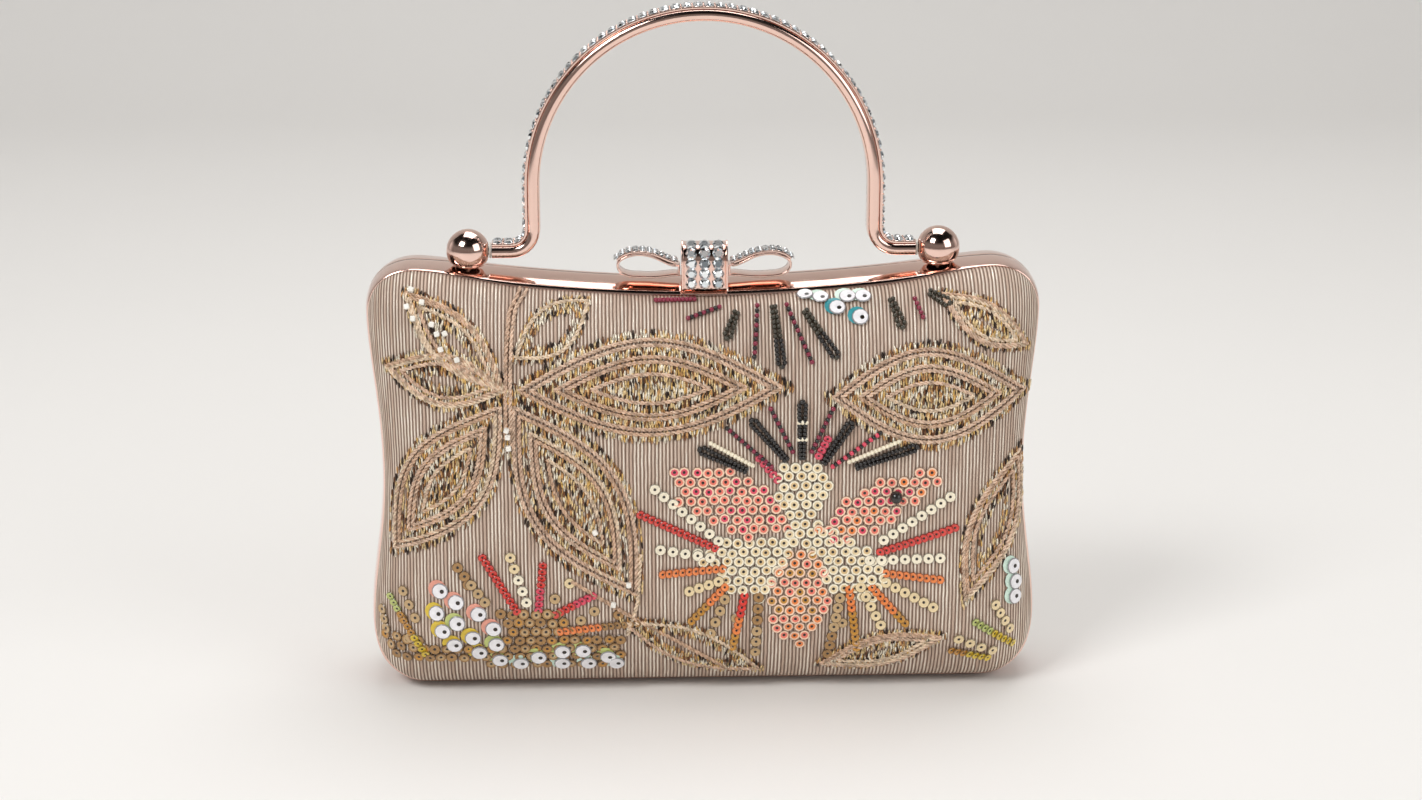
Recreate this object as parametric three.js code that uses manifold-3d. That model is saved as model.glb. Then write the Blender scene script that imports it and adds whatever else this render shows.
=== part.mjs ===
// Top-handle evening clutch bag, in millimetres.
// +X is to the right seen from the front, +Y to the back, +Z up.
// The origin is on the standing surface, under the middle of the bag.
import * as THREE from "three";
import { mergeVertices } from "three/addons/utils/BufferGeometryUtils.js";
import Module from "manifold-3d";

const wasm = await Module();
wasm.setup();

// Clearances
const SEAT_GAP = 0.3;
const PARTING_GAP = 0.3;
const LAYER_GAP = 0.5;
const MERGE_DISTANCE = 1e-3;
const SLIVER = 0.03;

// Case outline, seen from the front, right half
const FOOT_HALF = 82;
const HIP_HALF = 98.5;
const HIP_HEIGHT = 20;
const WAIST_HALF = 94.2;
const WAIST_HEIGHT = 66;
const SHOULDER_HALF = 97.5;
const SHOULDER_HEIGHT = 113;
const CORNER_HALF = 82;
const CORNER_TOP = 126.5;
const DIP_TOP = 120.8;
const FOOT_PARTS = 4;

// How far the outline's curves reach on straight from each of those points
const FOOT_REACH = 10;
const HIP_REACH = [11, 14];
const WAIST_REACH = [18, 20];
const SHOULDER_REACH = [13, 8.5];
const CORNER_REACH = [9, 16];
const CORNER_SLOPE = 0.056;
const DIP_REACH = 36;

// Frame halves
const FRAME_DEPTH = 10;
const FRAME_ROUNDING = 3.4;
const SIDE_ROUNDING = 1.2;
const FULL_ROUNDING_HALF = 50;
const FRAME_WALL = 2.4;
const FRAME_LIP = 1.2;
const LEDGE_STEP = 0.6;
const LEDGE_SLANT = 0.3;

// Rounding of the frame's outer face, from the parting plane out: share of the frame's depth,
// share of the rounding, and the least of it that is left where the bag stands
const ROUNDED_FACE = [
  [0.35, 0.1, 0],
  [0.7, 0.42, 0],
  [0.92, 0.75, 0.2],
  [1, 1, 0.35],
];

// Covers, pans and linings
const BULGE = 16;
const BULGE_REACH = 30;
const COVER_WALL = 0.9;
const RIM_STEP_IN = 0.2;
const PAN_WALL = 1.4;
const LINING_WALL = 0.8;
const PAN_TUCK = 3;
const LINING_TUCK = 7;

// Bottom hinges
const HINGE_AXIS_HEIGHT = 2;
const HINGE_OFFSET = 55;
const HINGE_LENGTH = 24;
const KNUCKLE_RADIUS = 1.6;
const HINGE_PIN_RADIUS = 0.7;
const PIN_CLEARANCE = 0.1;
const KNUCKLE_CLEARANCE = 0.5;
const LEAF_THICKNESS = 0.8;
const CASE_OPENING_DEG = 70;
const GROOVE_SPARE_DEG = 2;

// Handle
const HANDLE_Y = -5;
const PIVOT_RISE = 3.4;
const ARCH_RADIUS = 48.5;
const FOOT_BEND = 6.5;
const LEG_LENGTH = 12.2;
const PIVOT_HEIGHT = CORNER_TOP + PIVOT_RISE;
const ARCH_CENTRE_HEIGHT = PIVOT_HEIGHT + FOOT_BEND + LEG_LENGTH;
const BAR_DEPTH = 8;
const BAR_HEIGHT = 3.6;
const STONE_WIDTH = 2.6;
const STONE_HEIGHT = 1.1;
const STONE_PITCH = 3.3;
const STONE_ROW_OFFSET = 1.7;
const STONE_SINK = 0.15;
const STRIP_THICKNESS = 0.4;
const STRIP_EDGE = 0.4;
const HANDLE_STEPS = 44;
const PIVOT_PIN_RADIUS = 1.2;
const PIVOT_PIN_LENGTH = 5;
const WASHER_RADIUS = 2.3;
const WASHER_THICKNESS = 0.5;

// Knobs
const KNOB_INSET = 30;
const KNOB_OFFSET = SHOULDER_HALF - KNOB_INSET;
const KNOB_RADIUS = 6.2;
const COLLAR_TOP_RADIUS = 4.9;
const COLLAR_FOOT_RADIUS = 3.7;
const KNOB_FLAT = 0.4;
const KNOB_SCREW_RADIUS = 0.8;
const SCREW_HEAD_RADIUS = 1.3;
const SCREW_HEAD_THICKNESS = 0.9;

// Bow clasp
const KNOT_HALF = 6.6;
const KNOT_TOP = 133.2;
const KNOT_SKIRT_BOTTOM = 119.6;
const KNOT_FRONT = -12.4;
const KNOT_BACK = -1.6;
const KNOT_WALL = 1.4;
const KNOT_ROUNDING = 4.4;
const KNOT_BACK_ROUNDING = 3;
const KNOT_FOOT_LIFT = 1.2;
const LOOP_LENGTH = 18.2;
const LOOP_HEIGHT = 10.5;
const LOOP_WALL = 1;
const LOOP_FRONT = -9.6;
const LOOP_BACK = -2.4;
const LOOP_BOTTOM = 122.3;
const LOOP_RISE = 0.5;
const LOOP_NARROW_FROM = 2.4;
const LOOP_NARROW_TO = 7.4;
const LOOP_END_ROUNDING = 6;
const STEM_HALF = 2;
const STEM_DEPTH = 2.4;
const SLOT_SIDE_ROOM = 1;
const SLOT_FRONT_ROOM = 2.2;
const SLOT_BACK_ROOM = 1.6;
const CLASP_AXIS_HEIGHT = 114;
const CLASP_PIN_RADIUS = 0.9;
const ARM_HALF_HEIGHT = 1.4;
const CLASP_REACH = 7;
const MAGNET_RADIUS = 1.7;
const MAGNET_THICKNESS = 1.2;
const CLASP_ROOM_HALF = 8.6;
const CLASP_ROOM_BOTTOM = 108.5;
const CLASP_ROOM_BACK = 9.7;
const BRACKET_EAR_GAP = 3;
const BRACKET_EAR_THICKNESS = 1.2;
const BRACKET_WING = 4;
const BRACKET_BACK = -0.8;
const KEEPER_HALF = 3.4;
const KEEPER_THICKNESS = 1;
const KEEPER_FRONT = 1.2;
const KEEPER_BACK_ROOM = 2.2;
const SPRING_WIRE = 0.28;
const SPRING_TURNS = 2.5;
const SPRING_PITCH = 0.73;

// Embroidery
const CORD_WIDTH = 2.2;
const CORD_HEIGHT = 1;
const CORD_LIFT = 0.45;
const CORD_STEP = 5;
const PETAL_STEP = 8;
const STEEPEST_SLOPE = 3;
const PETAL_WIDTH = 3;
const PETAL_HEIGHT = 0.9;

// Finishes
const FINISHES = {
  roseGold: { color: 0xe3b3a2, roughness: 0.16, metalness: 1 },
  steel: { color: 0xb9b6b2, roughness: 0.35, metalness: 1 },
  stone: { color: 0xf1f1f4, roughness: 0.05, metalness: 0.2 },
  fabric: { color: 0x9c8b7d, roughness: 0.8, metalness: 0 },
  cord: { color: 0xb59a6c, roughness: 0.6, metalness: 0.2 },
  sequin: { color: 0xd9805c, roughness: 0.4, metalness: 0.1 },
  pan: { color: 0x2c2a2b, roughness: 0.6, metalness: 0 },
  satin: { color: 0x7d6d61, roughness: 0.5, metalness: 0 },
  magnet: { color: 0x6d6d70, roughness: 0.4, metalness: 1 },
  nylon: { color: 0xd8d4cc, roughness: 0.6, metalness: 0 },
};

const bag = new THREE.Group();

function addPiece(name, geometry, finish) {
  const mesh = new THREE.Mesh(geometry, new THREE.MeshStandardMaterial(FINISHES[finish]));
  mesh.name = name;
  bag.add(mesh);
  return mesh;
}

// A closed geometry as a solid for joining and cutting, and back again
function solidOf(geometry) {
  const bare = geometry.index ? geometry.toNonIndexed() : geometry.clone();
  bare.deleteAttribute("normal");
  bare.deleteAttribute("uv");
  const merged = mergeVertices(bare, MERGE_DISTANCE);
  return new wasm.Manifold(
    new wasm.Mesh({
      numProp: 3,
      vertProperties: merged.attributes.position.array,
      triVerts: new Uint32Array(merged.index.array),
    }),
  );
}

function geometryOf(solid) {
  const mesh = solid.getMesh();
  const geometry = new THREE.BufferGeometry();
  geometry.setAttribute("position", new THREE.BufferAttribute(mesh.vertProperties, 3));
  geometry.setIndex(new THREE.BufferAttribute(mesh.triVerts, 1));
  return geometry;
}

function joined(geometries) {
  return geometryOf(geometries.map(solidOf).reduce((all, next) => all.add(next)));
}

// Crossing ridges joined to one piece, with the pockets shut in between them filled
function joinedFull(solids) {
  const largest = (solid) => solid.decompose().sort((a, b) => b.volume() - a.volume())[0];
  const outer = largest(wasm.Manifold.union(solids)).simplify(SLIVER);
  return geometryOf(largest(solidOf(geometryOf(outer))));
}

function cut(geometry, cutters) {
  const left = cutters.map(solidOf).reduce((rest, next) => rest.subtract(next), solidOf(geometry));
  return geometryOf(solidOf(geometryOf(left.simplify(SLIVER))));
}

function box(x0, x1, y0, y1, z0, z1) {
  const geometry = new THREE.BoxGeometry(x1 - x0, y1 - y0, z1 - z0);
  return geometry.translate((x0 + x1) / 2, (y0 + y1) / 2, (z0 + z1) / 2);
}

// A round bar along X, from x0 to x1
function barAlongX(radius, x0, x1, y, z, sides = 16) {
  const geometry = new THREE.CylinderGeometry(radius, radius, Math.abs(x1 - x0), sides);
  return geometry.rotateZ(Math.PI / 2).translate((x0 + x1) / 2, y, z);
}

// A round bar along Z, from z0 to z1
function barAlongZ(radius, z0, z1, x, y, sides = 16, topRadius = radius) {
  const geometry = new THREE.CylinderGeometry(topRadius, radius, z1 - z0, sides);
  return geometry.rotateX(Math.PI / 2).translate(x, y, (z0 + z1) / 2);
}

// Rings of equal point counts joined into one closed skin.
// A closed loft ends on its first ring again, an open one is capped with a fan at both ends.
function loft(rings, closed) {
  const count = rings[0].length;
  const triangles = [];
  const quad = (a, b, c, d) => triangles.push(a, b, c, a, c, d);
  const last = closed ? rings.length : rings.length - 1;
  for (let r = 0; r < last; r += 1) {
    const here = rings[r];
    const next = rings[(r + 1) % rings.length];
    for (let i = 0; i < count; i += 1) {
      const j = (i + 1) % count;
      quad(here[i], here[j], next[j], next[i]);
    }
  }
  if (!closed) {
    const centreOf = (ring) => ring.reduce((sum, p) => sum.add(p), new THREE.Vector3()).divideScalar(count);
    const first = rings[0];
    const final = rings[rings.length - 1];
    const start = centreOf(first);
    const end = centreOf(final);
    for (let i = 0; i < count; i += 1) {
      const j = (i + 1) % count;
      triangles.push(start, first[j], first[i]);
      triangles.push(end, final[i], final[j]);
    }
  }
  const geometry = new THREE.BufferGeometry().setFromPoints(triangles);
  return solidOf(geometry).volume() < 0 ? flipped(geometry) : geometry;
}

function flipped(geometry) {
  const position = geometry.getAttribute("position");
  const points = [];
  for (let i = 0; i < position.count; i += 3) {
    for (const k of [0, 2, 1]) {
      points.push(new THREE.Vector3().fromBufferAttribute(position, i + k));
    }
  }
  return new THREE.BufferGeometry().setFromPoints(points);
}

// Case outline: a flat foot, full hips, a drawn-in waist, full shoulders and a dipped top.
// The tight curves of the corners get more points than the long sides.
function caseOutline() {
  const at = (x, z) => new THREE.Vector2(x, z);
  const foot = at(FOOT_HALF, 0);
  const hip = at(HIP_HALF, HIP_HEIGHT);
  const waist = at(WAIST_HALF, WAIST_HEIGHT);
  const shoulder = at(SHOULDER_HALF, SHOULDER_HEIGHT);
  const corner = at(CORNER_HALF, CORNER_TOP);
  const dip = at(0, DIP_TOP);
  const slant = at(-1, -CORNER_SLOPE);
  const stretch = (parts, from, leaving, to, arriving) => {
    const curve = new THREE.CubicBezierCurve(from, from.clone().add(leaving), to.clone().sub(arriving), to);
    return curve.getPoints(parts).slice(0, -1);
  };
  const right = [
    ...stretch(4, foot, at(FOOT_REACH, 0), hip, at(0, HIP_REACH[0])),
    ...stretch(3, hip, at(0, HIP_REACH[1]), waist, at(0, WAIST_REACH[0])),
    ...stretch(3, waist, at(0, WAIST_REACH[1]), shoulder, at(0, SHOULDER_REACH[0])),
    ...stretch(
      5, shoulder, at(0, SHOULDER_REACH[1]), corner, slant.clone().multiplyScalar(CORNER_REACH[0]),
    ),
    ...stretch(4, corner, slant.clone().multiplyScalar(CORNER_REACH[1]), dip, at(-DIP_REACH, 0)),
  ];
  const left = right.map((p) => at(-p.x, p.y)).reverse();
  const footLine = new THREE.LineCurve(at(-FOOT_HALF, 0), foot).getPoints(FOOT_PARTS).slice(1, -1);
  return [...right, dip, ...left, ...footLine];
}

const outline = caseOutline();

// Inward normal at each outline point
const inward = outline.map((point, i) => {
  const before = outline[(i + outline.length - 1) % outline.length];
  const after = outline[(i + 1) % outline.length];
  const along = after.clone().sub(before).normalize();
  return new THREE.Vector2(-along.y, along.x);
});

// A ring at a given inset from the outline and a given distance from the parting plane
function ringAt(side, inset, depth) {
  return outline.map((point, i) => {
    const shift = typeof inset === "function" ? inset(point) : inset;
    return new THREE.Vector3(
      point.x + inward[i].x * shift,
      side * depth,
      point.y + inward[i].y * shift,
    );
  });
}

// How far a point of the front view lies inside the outline
function distanceInside(x, z) {
  const spot = new THREE.Vector2(x, z);
  let nearest = Infinity;
  outline.forEach((a, i) => {
    const b = outline[(i + 1) % outline.length];
    const along = b.clone().sub(a);
    const share = THREE.MathUtils.clamp(spot.clone().sub(a).dot(along) / along.lengthSq(), 0, 1);
    nearest = Math.min(nearest, spot.distanceTo(a.clone().addScaledVector(along, share)));
  });
  return nearest;
}

// How far the frame's outer face rounds in: most along the middle of the top, where it shows,
// and little at the sides and the foot, where the cover reaches out over it
function roundingAt(x, z) {
  const { lerp, smoothstep } = THREE.MathUtils;
  const high = smoothstep(z, WAIST_HEIGHT, DIP_TOP - FRAME_ROUNDING);
  const out = smoothstep(Math.abs(x), FULL_ROUNDING_HALF, CORNER_HALF);
  return lerp(SIDE_ROUNDING, FRAME_ROUNDING, high * (1 - out));
}

// Pillow profile: distance from the parting plane at a distance inside the cover's rim
const COVER_START = FRAME_DEPTH + SEAT_GAP;
const coverRim = (x, z) => roundingAt(x, z) + RIM_STEP_IN;
const insideRim = (x, z) => Math.max(distanceInside(x, z) - coverRim(x, z), 0);
function pillow(inside) {
  const share = THREE.MathUtils.clamp(1 - inside / BULGE_REACH, 0, 1);
  return COVER_START + BULGE * Math.sqrt(1 - share * share);
}

const pillowAt = (x, z) => pillow(insideRim(x, z));

// Rings of one layer of the pillow, set back from the outer skin by a thickness
const RIM_STEPS = [0, 0.9, 3, 7];
const FACE_SHARES = [0.86, 0.62];
function pillowRings(side, setBack) {
  const rings = RIM_STEPS.map((inside) => {
    const slope = inside === 0 ? null : (pillow(inside + 0.1) - pillow(inside - 0.1)) / 0.2;
    const length = slope === null ? 1 : Math.hypot(1, slope);
    const across = slope === null ? 1 : slope / length;
    const back = slope === null ? 0 : 1 / length;
    const inset = (p) => coverRim(p.x, p.y) + inside + setBack * across;
    return ringAt(side, inset, pillow(inside) - setBack * back);
  });
  const lastRim = rings[rings.length - 1];
  const middle = new THREE.Vector3(0, 0, WAIST_HEIGHT);
  for (const share of FACE_SHARES) {
    rings.push(
      lastRim.map((p) => {
        const spot = middle.clone().lerp(p, share);
        spot.y = side * (pillowAt(spot.x, spot.z) - setBack);
        return spot;
      }),
    );
  }
  return rings;
}

// One layer: outer skin, inner skin, and the rim that joins them.
// The tuck carries the rim on from the skin towards the parting plane.
function pillowLayer(side, setBack, wall, tuck) {
  const outer = pillowRings(side, setBack);
  const inner = pillowRings(side, setBack + wall);
  if (tuck > 0) {
    const tucked = (inset) => ringAt(side, (p) => coverRim(p.x, p.y) + inset, COVER_START - tuck);
    outer.unshift(tucked(setBack));
    inner.unshift(tucked(setBack + wall));
  }
  return loft([...outer.reverse(), ...inner], false);
}

// Frame half: a band with a rounded outer face, flat where the bag stands
function frameHalf(side) {
  const standing = (point) => THREE.MathUtils.smoothstep(point.y, 0, HIP_HEIGHT);
  const rounded = (share, inset, least) => [
    (p) => inset * roundingAt(p.x, p.y) * Math.max(standing(p), least),
    FRAME_DEPTH * share,
  ];
  const lip = (p) => roundingAt(p.x, p.y) + FRAME_LIP - SEAT_GAP;
  const ledge = FRAME_DEPTH - PAN_TUCK;
  const section = [
    [0, PARTING_GAP / 2],
    ...ROUNDED_FACE.map((stage) => rounded(...stage)),
    [lip, FRAME_DEPTH],
    [(p) => lip(p) - LEDGE_SLANT, ledge],
    [FRAME_WALL, ledge - LEDGE_STEP],
    [FRAME_WALL, PARTING_GAP / 2],
  ];
  return loft(section.map(([inset, depth]) => ringAt(side, inset, depth)), true);
}

// The groove along the bottom that lets the halves part, and the notches for the hinge knuckles
function bottomGroove() {
  const halfAngle = THREE.MathUtils.degToRad(CASE_OPENING_DEG / 2 + GROOVE_SPARE_DEG);
  const drop = HINGE_AXIS_HEIGHT + 1;
  const spread = drop * Math.tan(halfAngle);
  const groove = new THREE.Shape([
    new THREE.Vector2(0, HINGE_AXIS_HEIGHT),
    new THREE.Vector2(-spread, HINGE_AXIS_HEIGHT - drop),
    new THREE.Vector2(spread, HINGE_AXIS_HEIGHT - drop),
  ]);
  const length = 2 * HIP_HALF;
  const geometry = new THREE.ExtrudeGeometry(groove, { depth: length, bevelEnabled: false });
  return geometry.rotateX(Math.PI / 2).rotateZ(Math.PI / 2).translate(-length / 2, 0, 0);
}

function hingeNotches() {
  const room = KNUCKLE_RADIUS + KNUCKLE_CLEARANCE;
  return [-1, 1].map((hand) => {
    const middle = hand * HINGE_OFFSET;
    const reach = HINGE_LENGTH / 2 + KNUCKLE_CLEARANCE;
    return box(middle - reach, middle + reach, -room, room, -1, HINGE_AXIS_HEIGHT + room);
  });
}

// Room for the clasp's stem as the bow tilts, through the frame and the clasp bracket
function stemSlot(z0, z1) {
  const half = STEM_DEPTH / 2;
  return box(
    -STEM_HALF - SLOT_SIDE_ROOM, STEM_HALF + SLOT_SIDE_ROOM,
    HANDLE_Y - half - SLOT_FRONT_ROOM, HANDLE_Y + half + SLOT_BACK_ROOM,
    z0, z1,
  );
}

function buildFrames() {
  const slot = stemSlot(DIP_TOP - 3 * FRAME_WALL, DIP_TOP + FRAME_WALL);
  const holeTop = CORNER_TOP + FRAME_WALL;
  const holeFoot = DIP_TOP - 2 * FRAME_WALL;
  const screwHoles = [-1, 1].map((hand) =>
    barAlongZ(KNOB_SCREW_RADIUS + SEAT_GAP, holeFoot, holeTop, hand * KNOB_OFFSET, HANDLE_Y, 12),
  );
  const front = cut(frameHalf(-1), [bottomGroove(), ...hingeNotches(), slot, ...screwHoles]);
  const back = cut(frameHalf(1), [bottomGroove(), ...hingeNotches()]);
  addPiece("front_frame", front, "roseGold");
  addPiece("back_frame", back, "roseGold");
}

// Covers, pans and linings of both halves
function buildShells() {
  for (const [half, side] of [["front", -1], ["back", 1]]) {
    const panBack = COVER_WALL + LAYER_GAP;
    const liningBack = panBack + PAN_WALL + LAYER_GAP;
    const roomEnds = [0, side * CLASP_ROOM_BACK].sort((a, b) => a - b);
    const claspRoom = box(-CLASP_ROOM_HALF, CLASP_ROOM_HALF, ...roomEnds, CLASP_ROOM_BOTTOM, DIP_TOP);
    const pan = pillowLayer(side, panBack, PAN_WALL, PAN_TUCK);
    const lining = pillowLayer(side, liningBack, LINING_WALL, LINING_TUCK);
    addPiece(`${half}_cover`, pillowLayer(side, 0, COVER_WALL, 0), "fabric");
    addPiece(`${half}_pan`, cut(pan, [claspRoom]), "pan");
    addPiece(`${half}_lining`, cut(lining, [claspRoom]), "satin");
  }
}

const LEAF_WIDTH = FRAME_DEPTH - PAN_TUCK - LEDGE_STEP - SEAT_GAP;

// Bottom hinges: the middle knuckle on the front leaf, the outer two on the back leaf
function buildHinges() {
  const leafBottom = FRAME_WALL + SEAT_GAP;
  for (const [place, hand] of [["left", -1], ["right", 1]]) {
    const middle = hand * HINGE_OFFSET;
    const third = HINGE_LENGTH / 3;
    const knuckle = (x0, x1) => barAlongX(KNUCKLE_RADIUS, x0, x1, 0, HINGE_AXIS_HEIGHT, 12);
    const x0 = middle - third / 2 + SEAT_GAP;
    const x1 = middle + third / 2 - SEAT_GAP;
    const outerLeft = middle - HINGE_LENGTH / 2;
    const outerRight = middle + HINGE_LENGTH / 2;
    const boreRadius = HINGE_PIN_RADIUS + PIN_CLEARANCE;
    const bore = barAlongX(boreRadius, outerLeft - third, outerRight + third, 0, HINGE_AXIS_HEIGHT, 12);
    const flat = (start, end, side, from) => {
      const ends = [side * from, side * LEAF_WIDTH].sort((a, b) => a - b);
      return box(start, end, ...ends, leafBottom, leafBottom + LEAF_THICKNESS);
    };
    const leaf = (start, end, side) => flat(start, end, side, HINGE_PIN_RADIUS);
    const plate = (side) => flat(outerLeft, outerRight, side, KNUCKLE_RADIUS + KNUCKLE_CLEARANCE);
    const frontLeaf = joined([knuckle(x0, x1), leaf(x0, x1, -1), plate(-1)]);
    const backLeaf = joined([
      knuckle(outerLeft, x0 - 2 * SEAT_GAP),
      knuckle(x1 + 2 * SEAT_GAP, outerRight),
      leaf(outerLeft, x0 - 2 * SEAT_GAP, 1),
      leaf(x1 + 2 * SEAT_GAP, outerRight, 1),
      plate(1),
    ]);
    addPiece(`${place}_hinge_front_leaf`, cut(frontLeaf, [bore]), "steel");
    addPiece(`${place}_hinge_back_leaf`, cut(backLeaf, [bore]), "steel");
    const pin = barAlongX(HINGE_PIN_RADIUS, outerLeft, outerRight, 0, HINGE_AXIS_HEIGHT, 12);
    addPiece(`${place}_hinge_pin`, pin, "steel");
  }
}

// Handle: feet turned outwards, short legs and a half-circle arch
const knobFace = KNOB_OFFSET - KNOB_RADIUS + KNOB_FLAT;
const footEnd = knobFace - WASHER_THICKNESS - 2 * SEAT_GAP;
function handlePath() {
  const path = new THREE.CurvePath();
  const at = (x, z) => new THREE.Vector3(x, HANDLE_Y, z);
  const bendTop = PIVOT_HEIGHT + FOOT_BEND;
  const bendSide = ARCH_RADIUS + FOOT_BEND;
  const round = 0.5523;
  const bend = (hand) => [
    at(hand * bendSide, PIVOT_HEIGHT),
    at(hand * (bendSide - round * FOOT_BEND), PIVOT_HEIGHT),
    at(hand * ARCH_RADIUS, bendTop - round * FOOT_BEND),
    at(hand * ARCH_RADIUS, bendTop),
  ];
  const quarter = (hand) => [
    at(hand * ARCH_RADIUS, ARCH_CENTRE_HEIGHT),
    at(hand * ARCH_RADIUS, ARCH_CENTRE_HEIGHT + round * ARCH_RADIUS),
    at(hand * round * ARCH_RADIUS, ARCH_CENTRE_HEIGHT + ARCH_RADIUS),
    at(0, ARCH_CENTRE_HEIGHT + ARCH_RADIUS),
  ];
  path.add(new THREE.LineCurve3(at(-footEnd, PIVOT_HEIGHT), at(-bendSide, PIVOT_HEIGHT)));
  path.add(new THREE.CubicBezierCurve3(...bend(-1)));
  path.add(new THREE.LineCurve3(at(-ARCH_RADIUS, bendTop), at(-ARCH_RADIUS, ARCH_CENTRE_HEIGHT)));
  path.add(new THREE.CubicBezierCurve3(...quarter(-1)));
  path.add(new THREE.CubicBezierCurve3(...quarter(1).reverse()));
  path.add(new THREE.LineCurve3(at(ARCH_RADIUS, ARCH_CENTRE_HEIGHT), at(ARCH_RADIUS, bendTop)));
  path.add(new THREE.CubicBezierCurve3(...bend(1).reverse()));
  path.add(new THREE.LineCurve3(at(bendSide, PIVOT_HEIGHT), at(footEnd, PIVOT_HEIGHT)));
  return path;
}

// A band swept along the handle's path: its section is given as outward and backward offsets
function sweptBand(path, steps, section, start = 0, end = 1) {
  const rings = [];
  for (let k = 0; k <= steps; k += 1) {
    const share = start + ((end - start) * k) / steps;
    const point = path.getPointAt(share);
    const along = path.getTangentAt(share);
    const outward = outwardOf(along);
    rings.push(
      section.map(([out, back]) => {
        const spot = point.clone().addScaledVector(outward, out);
        spot.y += back;
        return spot;
      }),
    );
  }
  return loft(rings, false);
}

// Cut stones in rows: four-sided pyramids set corner to corner, joined to the strip that holds them
function stoneAt(point, outward, sideways, width, height) {
  const stone = new THREE.ConeGeometry(width / 2, height, 4);
  const forward = new THREE.Vector3().crossVectors(sideways, outward).normalize();
  const turn = new THREE.Matrix4().makeBasis(sideways.clone(), outward.clone(), forward);
  stone.applyMatrix4(turn);
  return stone.translate(point.x, point.y, point.z);
}

const outwardOf = (along) => new THREE.Vector3(-along.z, 0, along.x).normalize();

// Two rows of stones on a strip, spaced evenly on the strip's own outer face
function stripWithRows(curve, steps, halfWidth) {
  const half = STRIP_THICKNESS / 2;
  const section = [[half, -halfWidth], [-half, -halfWidth], [-half, halfWidth], [half, halfWidth]];
  const parts = [solidOf(sweptBand(curve, steps, section))];
  const count = Math.floor(curve.getLength() / STONE_PITCH);
  for (let k = 0; k < count; k += 1) {
    const share = (k + 0.5) / count;
    const outward = outwardOf(curve.getTangentAt(share));
    const lift = half + STONE_HEIGHT / 2 - STONE_SINK;
    for (const row of [-1, 1]) {
      const spot = curve.getPointAt(share).addScaledVector(outward, lift);
      spot.y += row * STONE_ROW_OFFSET;
      parts.push(solidOf(stoneAt(spot, outward, new THREE.Vector3(0, 1, 0), STONE_WIDTH, STONE_HEIGHT)));
    }
  }
  return geometryOf(wasm.Manifold.union(parts));
}

// The curve that lies a given distance outside another one
function curveOutside(path, distance, steps) {
  const points = [];
  for (let k = 0; k <= steps; k += 1) {
    const share = k / steps;
    points.push(path.getPointAt(share).addScaledVector(outwardOf(path.getTangentAt(share)), distance));
  }
  return new THREE.CatmullRomCurve3(points);
}

function buildHandle() {
  const path = handlePath();
  const halfDepth = BAR_DEPTH / 2;
  const halfHeight = BAR_HEIGHT / 2;
  const barSection = [
    [halfHeight, -halfDepth * 0.75],
    [halfHeight * 0.4, -halfDepth],
    [-halfHeight * 0.4, -halfDepth],
    [-halfHeight, -halfDepth * 0.7],
    [-halfHeight, halfDepth * 0.7],
    [-halfHeight * 0.4, halfDepth],
    [halfHeight * 0.4, halfDepth],
    [halfHeight, halfDepth * 0.75],
  ];
  addPiece("handle_bar", sweptBand(path, HANDLE_STEPS, barSection), "roseGold");
  const stripMiddle = halfHeight + SEAT_GAP + STRIP_THICKNESS / 2;
  const stripHalf = STONE_ROW_OFFSET + STONE_WIDTH / 2 - STRIP_EDGE;
  const stripCurve = curveOutside(path, stripMiddle, 2 * HANDLE_STEPS + 2);
  addPiece("handle_stones", stripWithRows(stripCurve, HANDLE_STEPS, stripHalf), "stone");
}

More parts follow.
